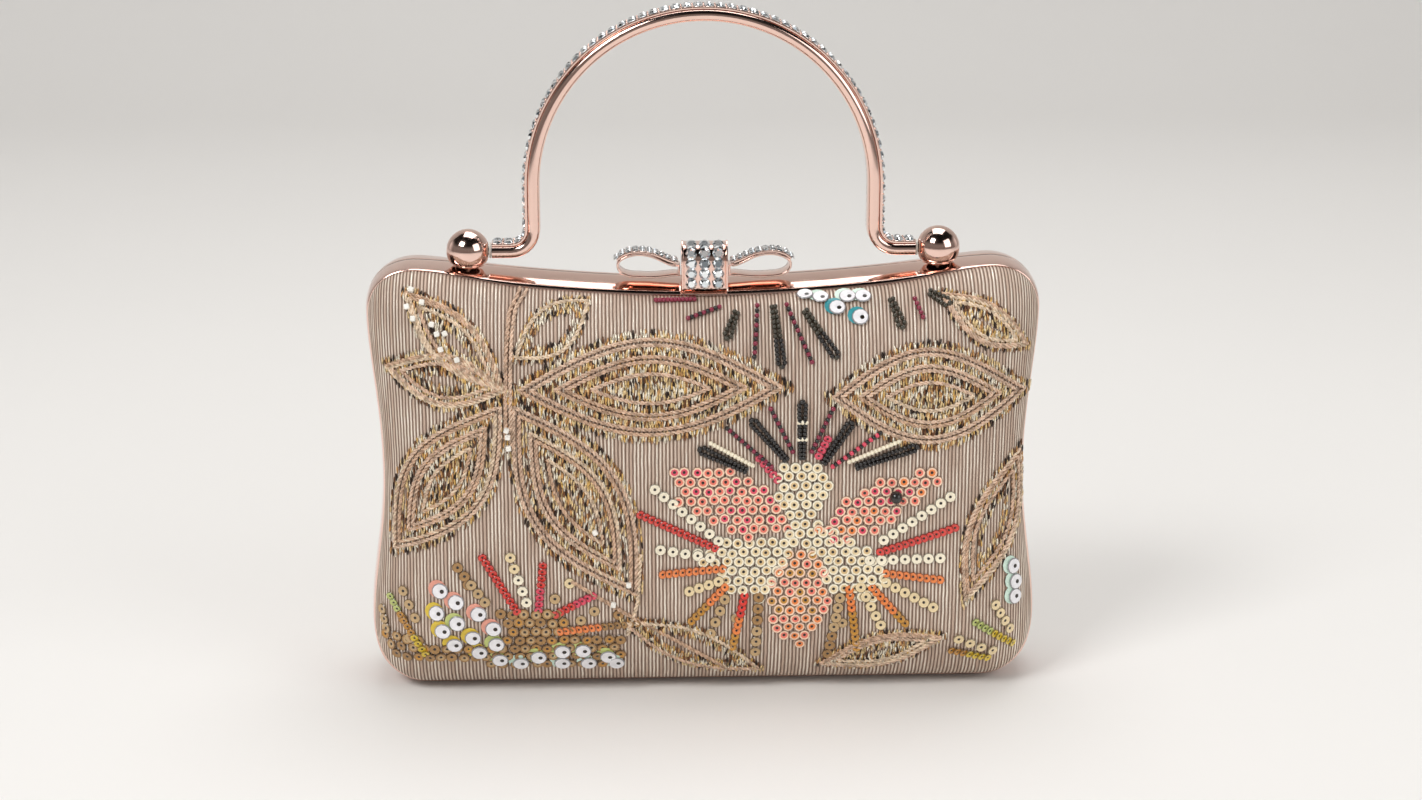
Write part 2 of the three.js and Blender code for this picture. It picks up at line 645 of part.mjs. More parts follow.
// Knobs: a ball on a tapered collar, with a flat inner face for the washer and a bore for the pin
function buildKnobs() {
  const foot = outlineTopAt(KNOB_OFFSET) + SEAT_GAP;
  const pinStart = footEnd + SEAT_GAP;
  const pinEnd = knobFace + PIVOT_PIN_LENGTH;
  const boreRadius = PIVOT_PIN_RADIUS + SEAT_GAP;
  const screwTop = PIVOT_HEIGHT - boreRadius - 3 * SEAT_GAP;
  const underside = outlineTopAt(KNOB_OFFSET - SCREW_HEAD_RADIUS) - FRAME_WALL - 2 * SEAT_GAP;
  for (const [place, hand] of [["left", -1], ["right", 1]]) {
    const x = hand * KNOB_OFFSET;
    const across = (radius, start, end, sides) =>
      barAlongX(radius, hand * start, hand * end, HANDLE_Y, PIVOT_HEIGHT, sides);
    const upright = (radius, z0, z1, sides, topRadius) =>
      barAlongZ(radius, z0, z1, x, HANDLE_Y, sides, topRadius);
    const ball = new THREE.SphereGeometry(KNOB_RADIUS, 14, 9).translate(x, HANDLE_Y, PIVOT_HEIGHT);
    const collar = upright(COLLAR_FOOT_RADIUS, foot, PIVOT_HEIGHT, 14, COLLAR_TOP_RADIUS);
    const room = 2 * KNOB_RADIUS;
    const around = [HANDLE_Y - room, HANDLE_Y + room];
    const flatEnds = [hand * (knobFace - room), hand * knobFace].sort((a, b) => a - b);
    const flat = box(...flatEnds, ...around, PIVOT_HEIGHT - room, PIVOT_HEIGHT + room);
    const under = box(x - room, x + room, ...around, foot - room, foot);
    const bore = across(boreRadius, knobFace - SEAT_GAP, pinEnd + SEAT_GAP, 12);
    const screwHole = upright(KNOB_SCREW_RADIUS + SEAT_GAP, foot - SEAT_GAP, screwTop + SEAT_GAP, 12);
    addPiece(`${place}_knob`, cut(joined([ball, collar]), [under, flat, bore, screwHole]), "roseGold");
    addPiece(`${place}_pivot_pin`, across(PIVOT_PIN_RADIUS, pinStart, pinEnd, 12), "steel");
    const disc = across(WASHER_RADIUS, pinStart, pinStart + WASHER_THICKNESS, 16);
    const eye = across(boreRadius, footEnd, knobFace, 12);
    addPiece(`${place}_pivot_washer`, cut(disc, [eye]), "nylon");
    const screw = joined([
      upright(KNOB_SCREW_RADIUS, underside - SCREW_HEAD_THICKNESS / 2, screwTop, 10),
      upright(SCREW_HEAD_RADIUS, underside - SCREW_HEAD_THICKNESS, underside, 12),
    ]);
    addPiece(`${place}_knob_screw`, screw, "steel");
  }
}

// Height of the outline's top edge at x
function outlineTopAt(x) {
  let height = 0;
  outline.forEach((a, i) => {
    const b = outline[(i + 1) % outline.length];
    const between = (a.x - x) * (b.x - x) <= 0 && a.x !== b.x;
    if (between && Math.min(a.y, b.y) > WAIST_HEIGHT) {
      height = a.y + ((b.y - a.y) * (x - a.x)) / (b.x - a.x);
    }
  });
  return height;
}

// Bow: an upright knot over the frame with a loop at each side
function knotGeometry() {
  const profile = new THREE.Shape();
  const top = KNOT_TOP;
  const lower = DIP_TOP + KNOT_FOOT_LIFT;
  profile.moveTo(KNOT_FRONT, KNOT_SKIRT_BOTTOM);
  profile.lineTo(KNOT_FRONT + KNOT_WALL, KNOT_SKIRT_BOTTOM);
  profile.lineTo(KNOT_FRONT + KNOT_WALL, lower);
  profile.lineTo(KNOT_BACK, lower);
  profile.lineTo(KNOT_BACK, top - KNOT_BACK_ROUNDING);
  profile.quadraticCurveTo(KNOT_BACK, top, KNOT_BACK - KNOT_BACK_ROUNDING, top);
  profile.lineTo(KNOT_FRONT + KNOT_ROUNDING, top);
  profile.quadraticCurveTo(KNOT_FRONT, top, KNOT_FRONT, top - KNOT_ROUNDING);
  profile.closePath();
  const geometry = new THREE.ExtrudeGeometry(profile, {
    depth: 2 * KNOT_HALF, bevelEnabled: false, curveSegments: 4,
  });
  // The profile is drawn in Y and Z and runs along X
  return geometry.rotateX(Math.PI / 2).rotateZ(Math.PI / 2).translate(-KNOT_HALF, 0, 0);
}

function loopOutline(hand, grow) {
  const shape = new THREE.Shape();
  const near = KNOT_HALF + SEAT_GAP;
  const x = (v) => hand * (near + v);
  const low = LOOP_BOTTOM - grow;
  const high = LOOP_BOTTOM + LOOP_HEIGHT + grow;
  const end = LOOP_LENGTH + grow;
  const start = -grow;
  const rise = LOOP_RISE;
  const round = LOOP_END_ROUNDING;
  const narrowLow = LOOP_BOTTOM + LOOP_NARROW_FROM - grow;
  const narrowHigh = LOOP_BOTTOM + LOOP_NARROW_TO + grow;
  shape.moveTo(x(start), narrowLow);
  shape.bezierCurveTo(x(start + 0.7 * round), narrowLow, x(start + round), low, x(end - round), low + rise);
  shape.bezierCurveTo(x(end - 1), low + rise, x(end), low + rise + 2, x(end), (low + high) / 2 + rise);
  shape.bezierCurveTo(x(end), high - 1.5, x(end - round / 2), high, x(end - round), high);
  shape.bezierCurveTo(x(start + round), high, x(start + 0.7 * round), narrowHigh, x(start), narrowHigh);
  shape.closePath();
  return shape;
}

function loopGeometry(hand) {
  const extrude = (shape, front, back) =>
    new THREE.ExtrudeGeometry(shape, { depth: back - front, bevelEnabled: false, curveSegments: 5 })
      .rotateX(Math.PI / 2)
      .translate(0, back, 0);
  const outer = extrude(loopOutline(hand, 0), LOOP_FRONT, LOOP_BACK);
  const inner = extrude(loopOutline(hand, -LOOP_WALL), LOOP_FRONT - 2, LOOP_BACK + 2);
  return cut(outer, [inner]);
}

// Stones along the top and outer end of a loop, from its outer end up and in to the knot
function loopStones(hand) {
  const points = loopOutline(hand, STRIP_THICKNESS / 2 + SEAT_GAP).getSpacedPoints(60);
  const lowest = LOOP_BOTTOM + LOOP_HEIGHT * 0.3;
  const spots = points
    .filter((p) => p.y > lowest && Math.abs(p.x) > KNOT_HALF + 1.6)
    .map((p) => new THREE.Vector3(p.x, (LOOP_FRONT + LOOP_BACK) / 2, p.y));
  const leftToRight = hand > 0 ? spots.reverse() : spots;
  const halfStrip = (LOOP_BACK - LOOP_FRONT) / 2 - 0.6;
  return stripWithRows(new THREE.CatmullRomCurve3(leftToRight), 16, halfStrip);
}

// Three upright rows of stones on the front of the knot
function knotStones() {
  const face = KNOT_FRONT - SEAT_GAP;
  const half = KNOT_HALF - STRIP_EDGE;
  const plateFoot = KNOT_SKIRT_BOTTOM + STRIP_EDGE;
  const plateTop = KNOT_TOP - KNOT_ROUNDING;
  const parts = [solidOf(box(-half, half, face - STRIP_THICKNESS, face, plateFoot, plateTop))];
  const rowPitch = (2 * half) / 3;
  const height = plateTop - plateFoot;
  const count = Math.floor(height / STONE_PITCH);
  for (let row = -1; row <= 1; row += 1) {
    for (let k = 0; k < count; k += 1) {
      const z = plateFoot + ((k + 0.5) * height) / count;
      const y = face - STRIP_THICKNESS - STONE_HEIGHT / 2 + STONE_SINK;
      const spot = new THREE.Vector3(row * rowPitch, y, z);
      const outward = new THREE.Vector3(0, -1, 0);
      parts.push(solidOf(stoneAt(spot, outward, new THREE.Vector3(1, 0, 0), STONE_WIDTH, STONE_HEIGHT)));
    }
  }
  return geometryOf(wasm.Manifold.union(parts));
}

function buildClasp() {
  const half = STEM_DEPTH / 2;
  const stemTop = DIP_TOP + KNOT_FOOT_LIFT + STRIP_THICKNESS;
  const armTop = CLASP_AXIS_HEIGHT + ARM_HALF_HEIGHT / 2;
  const armBottom = CLASP_AXIS_HEIGHT - ARM_HALF_HEIGHT;
  const stem = box(-STEM_HALF, STEM_HALF, HANDLE_Y - half, HANDLE_Y + half, armBottom, stemTop);
  const arm = box(-STEM_HALF, STEM_HALF, HANDLE_Y - half, CLASP_REACH, armBottom, armTop);
  const earOut = BRACKET_EAR_GAP + BRACKET_EAR_THICKNESS;
  const springStart = earOut + SEAT_GAP + SPRING_WIRE;
  const pinEnd = springStart + SPRING_TURNS * SPRING_PITCH + 2 * SPRING_WIRE;
  const pinBar = (radius, end) => barAlongX(radius, -end, end, HANDLE_Y, CLASP_AXIS_HEIGHT, 12);
  const pinHole = pinBar(CLASP_PIN_RADIUS + PIN_CLEARANCE, 2 * pinEnd);
  addPiece("bow_knot", cut(joined([knotGeometry(), stem, arm]), [pinHole]), "roseGold");
  for (const [place, hand] of [["left", -1], ["right", 1]]) {
    addPiece(`${place}_bow_loop`, loopGeometry(hand), "roseGold");
    addPiece(`${place}_loop_stones`, loopStones(hand), "stone");
  }
  addPiece("knot_stones", knotStones(), "stone");
  const magnetTop = armBottom - SEAT_GAP;
  const magnetFoot = magnetTop - MAGNET_THICKNESS;
  const magnetY = CLASP_REACH - MAGNET_RADIUS - STRIP_EDGE;
  addPiece("clasp_magnet", barAlongZ(MAGNET_RADIUS, magnetFoot, magnetTop, 0, magnetY, 16), "magnet");
  addPiece("clasp_bracket", cut(bracketGeometry(earOut), [pinHole]), "steel");
  addPiece("clasp_pin", pinBar(CLASP_PIN_RADIUS, pinEnd), "steel");
  addPiece("clasp_spring", springGeometry(springStart), "steel");
  addPiece("keeper_plate", keeperGeometry(magnetFoot - SEAT_GAP), "steel");
}

// The bracket under the frame: a plate with a slot for the stem, and two ears that hold the pin
function bracketGeometry(earOut) {
  const top = DIP_TOP - FRAME_WALL - 3 * SEAT_GAP;
  const foot = top - BRACKET_EAR_THICKNESS;
  const wing = earOut + BRACKET_WING;
  const plate = box(-wing, wing, HANDLE_Y - STRIP_THICKNESS, BRACKET_BACK, foot, top);
  const pinRoom = 2 * CLASP_PIN_RADIUS;
  const ear = (hand) => {
    const ends = [hand * BRACKET_EAR_GAP, hand * earOut].sort((a, b) => a - b);
    const heights = [CLASP_AXIS_HEIGHT - pinRoom, top - STRIP_THICKNESS / 2];
    return box(...ends, HANDLE_Y - pinRoom, 2 * BRACKET_BACK, ...heights);
  };
  return joined([cut(plate, [stemSlot(foot - 1, top + 1)]), ear(-1), ear(1)]);
}

// A torsion spring of a few turns round the clasp pin, outside the right ear
function springGeometry(start) {
  const radius = CLASP_PIN_RADIUS + SPRING_WIRE + SEAT_GAP;
  const steps = Math.round(SPRING_TURNS * 8);
  const points = Array.from({ length: steps + 1 }, (_, k) => {
    const turns = (SPRING_TURNS * k) / steps;
    const angle = 2 * Math.PI * turns;
    return new THREE.Vector3(
      start + turns * SPRING_PITCH,
      HANDLE_Y + radius * Math.cos(angle),
      CLASP_AXIS_HEIGHT + radius * Math.sin(angle),
    );
  });
  const section = new THREE.Shape();
  section.absarc(0, 0, SPRING_WIRE, 0, 2 * Math.PI);
  return new THREE.ExtrudeGeometry(section, {
    steps, extrudePath: new THREE.CatmullRomCurve3(points), curveSegments: 4, bevelEnabled: false,
  });
}

// The keeper hangs from the back frame and reaches under the magnet
function keeperGeometry(top) {
  const back = CLASP_REACH + KEEPER_BACK_ROOM;
  const hangTop = DIP_TOP - FRAME_ROUNDING - FRAME_LIP - SEAT_GAP;
  const shelf = box(-KEEPER_HALF, KEEPER_HALF, KEEPER_FRONT, back, top - KEEPER_THICKNESS, top);
  const wall = box(-KEEPER_HALF, KEEPER_HALF, back - KEEPER_THICKNESS, back, top - KEEPER_THICKNESS, hangTop);
  return joined([shelf, wall]);
}

// Embroidery: cords couched on the cover in leaf outlines and stems
function onCover(x, z, lift) {
  const inside = insideRim(x, z);
  const slope = Math.min((pillow(inside + 0.2) - pillow(inside)) / 0.2, STEEPEST_SLOPE);
  return new THREE.Vector3(x, -(pillow(inside) + lift * Math.hypot(1, slope)), z);
}

// A cord along points of the front view: a low ridge that follows the cover
function cordAlong(points, width, height, step) {
  const spots = points.map(([x, z]) => new THREE.Vector3(x, 0, z));
  const flat = new THREE.CatmullRomCurve3(spots, false, "centripetal");
  const steps = Math.ceil(flat.getLength() / step);
  const rings = [];
  for (let k = 0; k <= steps; k += 1) {
    const p = flat.getPointAt(k / steps);
    const t = flat.getTangentAt(k / steps);
    const across = new THREE.Vector3(-t.z, 0, t.x);
    const edge = (share, lift) => {
      const spot = p.clone().addScaledVector(across, share * width);
      return onCover(spot.x, spot.z, lift);
    };
    rings.push([edge(-0.5, CORD_LIFT), edge(0.5, CORD_LIFT), edge(0, CORD_LIFT + height)]);
  }
  return loft(rings, false);
}

// A leaf is two curved sides from its foot to its tip
function leafCords(foot, tip, fullness) {
  const [fx, fz] = foot;
  const [tx, tz] = tip;
  const length = Math.hypot(tx - fx, tz - fz);
  const across = [-(tz - fz) / length, (tx - fx) / length];
  const sidePoint = (share, hand) => {
    const swell = hand * fullness * length * Math.sin(Math.PI * share);
    return [fx + (tx - fx) * share + across[0] * swell, fz + (tz - fz) * share + across[1] * swell];
  };
  const side = (hand) => [0, 0.25, 0.5, 0.75, 1].map((share) => sidePoint(share, hand));
  return [side(1), side(-1)];
}

const LEAF_HUB = [-57, 94];
const LEAF_GROUPS = {
  left_leaves: {
    leaves: [
      [LEAF_HUB, [-81, 115], 0.16],
      [LEAF_HUB, [-34, 114], 0.16],
      [LEAF_HUB, [-88, 99], 0.2],
      [LEAF_HUB, [22.4, 94], 0.17],
      [LEAF_HUB, [-86, 48], 0.2],
      [LEAF_HUB, [-20, 32], 0.15],
      [[-19, 10], [15, 12], 0.2],
    ],
    stems: [
      [[-55, 115], LEAF_HUB, [-56, 79]],
      [[-33, 43], [-8, 32], [15, 12]],
    ],
  },
  right_leaf: { leaves: [[[36, 92], [87, 92], 0.24]], stems: [] },
  top_right_leaf: { leaves: [[[66, 116], [85, 106], 0.16]], stems: [] },
  low_right_leaf: { leaves: [[[76, 26], [86, 72], 0.13]], stems: [] },
  bottom_leaf: { leaves: [[[37, 12], [69, 12], 0.16]], stems: [] },
};

function buildLeaves() {
  for (const [name, group] of Object.entries(LEAF_GROUPS)) {
    const cords = group.leaves.flatMap(([foot, tip, fullness]) => leafCords(foot, tip, fullness));
    const ridgeOf = (points) => solidOf(cordAlong(points, CORD_WIDTH, CORD_HEIGHT, CORD_STEP));
    addPiece(name, joinedFull([...cords, ...group.stems].map(ridgeOf)), "cord");
  }
}

// A sequin flower is a fan of petals from one centre, each given by its angle and reach
const FLOWERS = {
  large_flower: {
    centre: [27.1, 47.8],
    petals: [
      [90, 40], [68, 38], [48, 40], [112, 38], [134, 37], [20, 38], [158, 40], [0, 42], [180, 42],
      [-18, 40], [198, 33], [-40, 32], [220, 27], [-65, 32], [245, 32], [-90, 30],
    ],
  },
  top_flower: {
    centre: [21, 112],
    petals: [[195, 16], [225, 10], [262, 9], [298, 10], [330, 16], [352, 30]],
  },
  low_flower: {
    centre: [-48.4, 16],
    petals: [[35, 24], [65, 22], [90, 22], [115, 24], [150, 28], [178, 30]],
  },
};

function buildFlowers() {
  for (const [name, { centre, petals }] of Object.entries(FLOWERS)) {
    const solids = petals.map(([degrees, reach]) => {
      const angle = THREE.MathUtils.degToRad(degrees);
      const at = (r) => [centre[0] + r * Math.cos(angle), centre[1] + r * Math.sin(angle)];
      return solidOf(cordAlong([at(-1), at(reach / 2), at(reach)], PETAL_WIDTH, PETAL_HEIGHT, PETAL_STEP));
    });
    addPiece(name, joinedFull(solids), "sequin");
  }
}

buildFrames();
buildShells();
buildHinges();
buildHandle();
buildKnobs();
buildClasp();
buildLeaves();
buildFlowers();

export default bag;
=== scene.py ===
"""Top-handle evening clutch bag: its visible surfaces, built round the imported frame."""

import math
import random

import bmesh
import bpy
import numpy as np
from bpy.props import FloatProperty, FloatVectorProperty, PointerProperty
from mathutils import Matrix, Vector
from mathutils.bvhtree import BVHTree
from mathutils.geometry import interpolate_bezier


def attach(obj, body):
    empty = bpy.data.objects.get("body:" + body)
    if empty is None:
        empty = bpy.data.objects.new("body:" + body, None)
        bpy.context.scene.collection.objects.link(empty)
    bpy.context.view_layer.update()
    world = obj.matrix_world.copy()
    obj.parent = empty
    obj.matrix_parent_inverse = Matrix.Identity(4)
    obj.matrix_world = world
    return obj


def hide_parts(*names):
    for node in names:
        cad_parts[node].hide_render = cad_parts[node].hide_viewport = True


bl_info = {
    "name": "Evening clutch bag",
    "version": (1, 0, 0),
    "blender": (4, 5, 0),
    "location": "3D View > Sidebar > Bag",
    "description": "Builds the visible pieces of a framed evening clutch with a stone-set handle",
    "category": "Add Mesh",
}

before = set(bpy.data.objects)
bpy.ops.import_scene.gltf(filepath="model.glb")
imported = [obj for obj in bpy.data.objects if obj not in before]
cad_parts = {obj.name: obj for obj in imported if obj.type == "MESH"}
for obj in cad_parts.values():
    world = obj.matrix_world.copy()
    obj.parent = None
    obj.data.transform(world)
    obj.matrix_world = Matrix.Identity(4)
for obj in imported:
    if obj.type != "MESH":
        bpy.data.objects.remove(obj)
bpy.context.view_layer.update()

# Sizes are in millimetres, and a finished mesh is scaled to metres
MM = 0.001

# Halves of the case and sides of the bag, with the sign of Y or X there
HALVES = (("front", -1), ("back", 1))
HANDS = (("left", -1), ("right", 1))

# Case outline, front view, right half: named points as (x, z), and how far the curves reach from them
FOOT = Vector((82, 0))
HIP = Vector((98.5, 20))
WAIST = Vector((94.2, 66))
SHOULDER = Vector((97.5, 113))
CORNER = Vector((82, 126.5))
DIP = Vector((0, 120.8))
FOOT_REACH = 10
HIP_REACH = (11, 14)
WAIST_REACH = (18, 20)
SHOULDER_REACH = (13, 8.5)
CORNER_REACH = (9, 16)
CORNER_SLOPE = 0.056
DIP_REACH = 36
CURVE_PARTS = 16
FOOT_PARTS = 12

# Frame halves
PARTING_HALF = 0.15
FRAME_DEPTH = 10
FRAME_ROUNDING = 3.4
SIDE_ROUNDING = 1.2
FULL_ROUNDING_HALF = 50
FACE_STEPS = 12
FACE_POWER = 0.75
FOOT_RELIEF = 0.35
FRAME_WALL = 2.4
FRAME_LIP = 0.9
LIP_BEVEL = 0.2
LIP_ROUND = 0.3
LEDGE_DEPTH = 7
LEDGE_SLOPE = 0.6
BASE_HALF = 7
EDGE_ROUND = 0.3
GROOVE_HALF_ANGLE = math.radians(37)
GROOVE_DROP = 3
HINGE_HEIGHT = 2
HINGE_OFFSET = 55
HINGE_ROOM = (12.5, 2.1)
STEM_SLOT_HALF = 3
STEM_SLOT_SPARE = (2.2, 1.6)
STEM_SLOT_HEIGHTS = (113.6, 123.2)

# Covers, pans and linings
RIM_STEP_IN = 0.2
COVER_START = 10.3
BULGE = 16
BULGE_REACH = 30
COVER_WALL = 0.9
PAN_BACK = 1.4
PAN_WALL = 1.4
PAN_TUCK = 3
LINING_BACK = 3.3
LINING_WALL = 0.8
LINING_TUCK = 7
COVER_RINGS = 28
SKIN_REACH = 0.94
RING_SPREAD = 1.8
CROWN = 0.25
SMOOTHING_PASSES = 5
FLAT_CROWDING = 2.5
CLEAR_OF_COVERS = 60
CLASP_ROOM = ((-8.6, -9.7, 108.5), (8.6, 9.7, 121))

# Handle
HANDLE_Y = -5
PIVOT_HEIGHT = 129.9
ARCH_RADIUS = 48.5
ARCH_CENTRE_HEIGHT = 148.6
FOOT_BEND = 6.5
FOOT_END = 60.6
BAR_DEPTH = 8
BAR_HEIGHT = 3.6
BAR_ROUND = 1.75
ROUND_SHARE = 0.5523
HANDLE_STEP = 1.4
STRIP_LIFT = -0.05
STRIP_THICKNESS = 0.75
STRIP_ROUND = 0.15
STONE_ROW_OFFSET = 1.65
CLAW_DIAMETER = 0.9
CLAW_INSET = 0.3

# Knobs
KNOB_OFFSET = 67.5
KNOB_RADIUS = 6.2
KNOB_FACE = 61.7
KNOB_FOOT = 125.2
COLLAR_TOP = 4.9
COLLAR_FOOT = 3.7
COLLAR_EDGE = 0.3
NECK_GROOVE = ((0.15, 0.35), (0.45, 0.2), (0.4, 0))
BALL_STEPS = 22
PIN_BORE_RADIUS = 1.5
PIN_BORE_DEPTH = 5.3

# Bow
KNOT_HALF = 6.6
KNOT_TOP = 132.1
KNOT_FOOT = 119.6
KNOT_FRONT = -12.4
KNOT_BACK = -1.6
KNOT_WALL = 1.4
KNOT_EDGE = 0.35
KNOT_CLEARANCE = 1.2
KNOT_BACK_ROUND = 3
KNOT_CREST = 4.4
CREST_END = 105
KNOT_STONE = 3.4
KNOT_STONE_STEP = 3
KNOT_COLUMN = 3.85
BED_RISE = 0.7
BED_SPARE = 0.25
PLATE_RISE = 1.5
PLATE_HALF = 0.25
PLATE_EDGE = 0.1
PLATE_INSET = 0.27
SETTING_START = 0.3
SETTING_SINK = 0.1
LOOP_START = 6.9
LOOP_LENGTH = 18.2
LOOP_BOTTOM = 121.9
LOOP_HEIGHT = 7.6
LOOP_NARROW = (0.9, 4.2)
LOOP_WALL = 0.65
LOOP_EDGE = 0.25
LOOP_TILT = 0.5
LOOP_NECK = 4.2
LOOP_TURN = 6
LOOP_CENTRE = 15
LOOP_FRONT = -9.6
LOOP_BACK = -2.4
LOOP_MIDDLE = (LOOP_FRONT + LOOP_BACK) / 2
LOOP_STONE = 1.95
LOOP_STONE_STEP = 1.95
LOOP_STONE_ROWS = (-2, 0, 2)
LOOP_STONES_CLEAR = 1.2
LOOP_STONES_END = 2.5
LOOP_STONES_LOW = 0.7
LOOP_STRIP = 0.35
LOOP_STRIP_HALF = 3.1
LOOP_STRIP_ROUND = 0.1
LOOP_STRIP_SEAT = 0.02
STEM_HALF = 2
STEM_DEPTH = 2.4
STEM_BOSS = 1.4
STEM_RISE = 1.5
ARM_RISE = 0.7
CLASP_AXIS_HEIGHT = 114
CLASP_REACH = 7

# Camera, in metres and degrees: its lens is for a 36 mm wide sensor
CAMERA_PLACE = Vector((-0.026, -0.7445, 0.290))
CAMERA_LENS = 66.66
CAMERA_SENSOR = 36
CAMERA_SIGHT = 20
CAMERA_PITCH = 15.5
CAMERA_HEADING = 2.174

# Paper and lamps, in metres: each lamp has its place, width and power
BACKDROP_DISTANCE = 1.6
BACKDROP_RADIUS = 0.6
LAMP_TARGET = Vector((0, 0, 0.09))
LAMPS = {
    "key_lamp": ((-0.75, -0.85, 1.15), 0.55, 10.8),
    "fill_lamp": ((0.95, -0.75, 0.65), 0.8, 4.2),
    "top_lamp": ((0.1, 0.35, 1.3), 0.9, 7),
}


def linear(hex_colour):
    """A colour from its sRGB hex value, as Blender's linear red, green, blue and alpha."""
    channels = [int(hex_colour[i:i + 2], 16) / 255 for i in (1, 3, 5)]
    return (*(c / 12.92 if c <= 0.04045 else ((c + 0.055) / 1.055) ** 2.4 for c in channels), 1)


def grey(level):
    """A linear grey for a ramp that drives a value."""
    return (level, level, level, 1)


def shaded(colour, share):
    """A linear colour darkened to a share."""
    return (*(share * c for c in colour[:3]), 1)


def grain(millimetres):
    """Scale of a pattern whose grains have a size in millimetres."""
    return 1 / (millimetres * MM)


def colour_property(name, description, hex_colour):
    """A colour that the user can change."""
    return FloatVectorProperty(
        name=name, description=description, subtype="COLOR", size=4, min=0, max=1,
        default=linear(hex_colour),
    )


def length_property(name, description, millimetres):
    """A length that the user can change."""
    return FloatProperty(
        name=name, description=description, unit="LENGTH", min=0, precision=5, default=millimetres * MM
    )


class FabricSettings(bpy.types.PropertyGroup):
    """Cover fabric and lining."""

    rib_pitch: length_property("Rib pitch", "Distance between two ribs of the fabric", 1.05)
    ground: colour_property("Ground", "Matt yarn of the fabric", "#C6AD9B")
    thread: colour_property("Thread", "Silvery thread that runs on each rib", "#FFF6E8")
    groove: colour_property("Groove", "Shade between two ribs", "#705A4C")
    lining: colour_property("Lining", "Satin inside both trays", "#6E5A4C")


class MetalSettings(bpy.types.PropertyGroup):
    """Plated metal and cut stones."""

    stone_diameter: length_property("Stone", "Diameter of a cut stone", 2.9)
    stone_pitch: length_property("Stone pitch", "Distance between two stones of a row", 3.15)
    rose_gold: colour_property("Rose gold", "Plating of frame, handle, knobs and bow", "#F2D0C3")


class EmbroiderySettings(bpy.types.PropertyGroup):
    """Cords, stitches, beads and sequins."""

    strand: length_property("Strand", "Diameter of one strand of a twisted cord", 0.7)
    cord_pitch: length_property("Cord pitch", "Length of one turn of a twisted cord", 3.0)
    stitch_length: length_property("Stitch", "Length of one metallic stitch", 2.4)
    sequin: length_property("Sequin", "Diameter of a ring sequin", 3.5)
    small_sequin: length_property("Small sequin", "Diameter of a sequin in a narrow row", 2.8)
    pearl: length_property("Pearl sequin", "Diameter of a large pearly sequin", 4.9)
    bead: length_property("Bead", "Diameter of a glass bead", 1.5)


class StageSettings(bpy.types.PropertyGroup):
    """Floor, backdrop and lamps."""

    floor: colour_property("Floor", "Pale paper under and behind the bag", "#ECEAE7")
    width: length_property("Width", "Width of the paper", 6000)


def add_node(tree, kind, links=None, stops=(), **settings):
    """Adds a shader node, sets its attributes and a ramp's stops, and links or sets its inputs."""
    made = tree.nodes.new("ShaderNode" + kind)
    for name, value in settings.items():
        setattr(made, name, value)
    if stops:
        elements = made.color_ramp.elements
        elements[0].position, elements[0].color = stops[0]
        elements[1].position, elements[1].color = stops[-1]
        for position, colour in stops[1:-1]:
            elements.new(position).color = colour
    for name, value in (links or {}).items():
        if isinstance(value, bpy.types.NodeSocket):
            tree.links.new(value, made.inputs[name])
        else:
            made.inputs[name].default_value = value
    return made


def start_material(name):
    """A new material and its empty node tree."""
    material = bpy.data.materials.new(name)
    material.use_nodes = True
    material.node_tree.nodes.clear()
    return material, material.node_tree


def end_material(tree, surface):
    """Links the finished surface to the material's output."""
    add_node(tree, "OutputMaterial", {"Surface": surface.outputs[0]})


def object_place(tree, scale=(1, 1, 1)):
    """Object coordinates times a scale along each axis."""
    place = add_node(tree, "TexCoord")
    return add_node(tree, "Mapping", {"Vector": place.outputs["Object"], "Scale": scale}).outputs[0]


def ribbed_fabric(settings):
    """Woven polyester rep with a silvery thread on each rib.

    Rib, thread and groove give the eye fine upright lines. The real ribs are about 0.85 mm apart,
    and are drawn a little coarser so that they show.
    """
    material, tree = start_material("ribbed_fabric")
    pitch_at_scale_one = 2 * math.pi / 20
    laid = add_node(tree, "Attribute", attribute_name="laid_flat")
    place = laid.outputs["Vector"]
    ribs = add_node(tree, "TexWave", {
        "Vector": place, "Scale": pitch_at_scale_one / settings.rib_pitch, "Distortion": 0.9, "Detail": 3,
        "Detail Scale": 0.8,
    }, wave_type="BANDS", bands_direction="X", wave_profile="SIN")
    streak_scale = (grain(1.613), grain(1.613), grain(22.22))
    streak_place = add_node(tree, "Mapping", {"Vector": place, "Scale": streak_scale})
    streaks = add_node(tree, "TexNoise", {
        "Vector": streak_place.outputs[0], "Scale": 1.0, "Detail": 3, "Roughness": 0.6,
    })
    both = {0: ribs.outputs["Fac"], 1: streaks.outputs["Fac"]}
    broken = add_node(tree, "Math", both, operation="MULTIPLY")
    lifted = add_node(tree, "Math", {0: broken.outputs[0], 1: 1.75}, operation="MULTIPLY", use_clamp=True)
    tint = add_node(tree, "ValToRGB", {"Fac": lifted.outputs[0]}, [
        (0.08, settings.groove), (0.36, settings.ground), (0.66, settings.ground), (0.95, settings.thread),
    ])
    shine = add_node(tree, "ValToRGB", {"Fac": lifted.outputs[0]}, [(0.6, grey(0)), (1.0, grey(0.55))])
    rough = add_node(tree, "ValToRGB", {"Fac": lifted.outputs[0]}, [(0.5, grey(0.75)), (1.0, grey(0.38))])
    bump = add_node(tree, "Bump", {"Height": lifted.outputs[0], "Strength": 0.7, "Distance": 0.35 * MM})
    surface = add_node(tree, "BsdfPrincipled", {
        "Base Color": tint.outputs[0], "Metallic": shine.outputs[0], "Roughness": rough.outputs[0],
        "Normal": bump.outputs[0],
    })
    end_material(tree, surface)
    return material


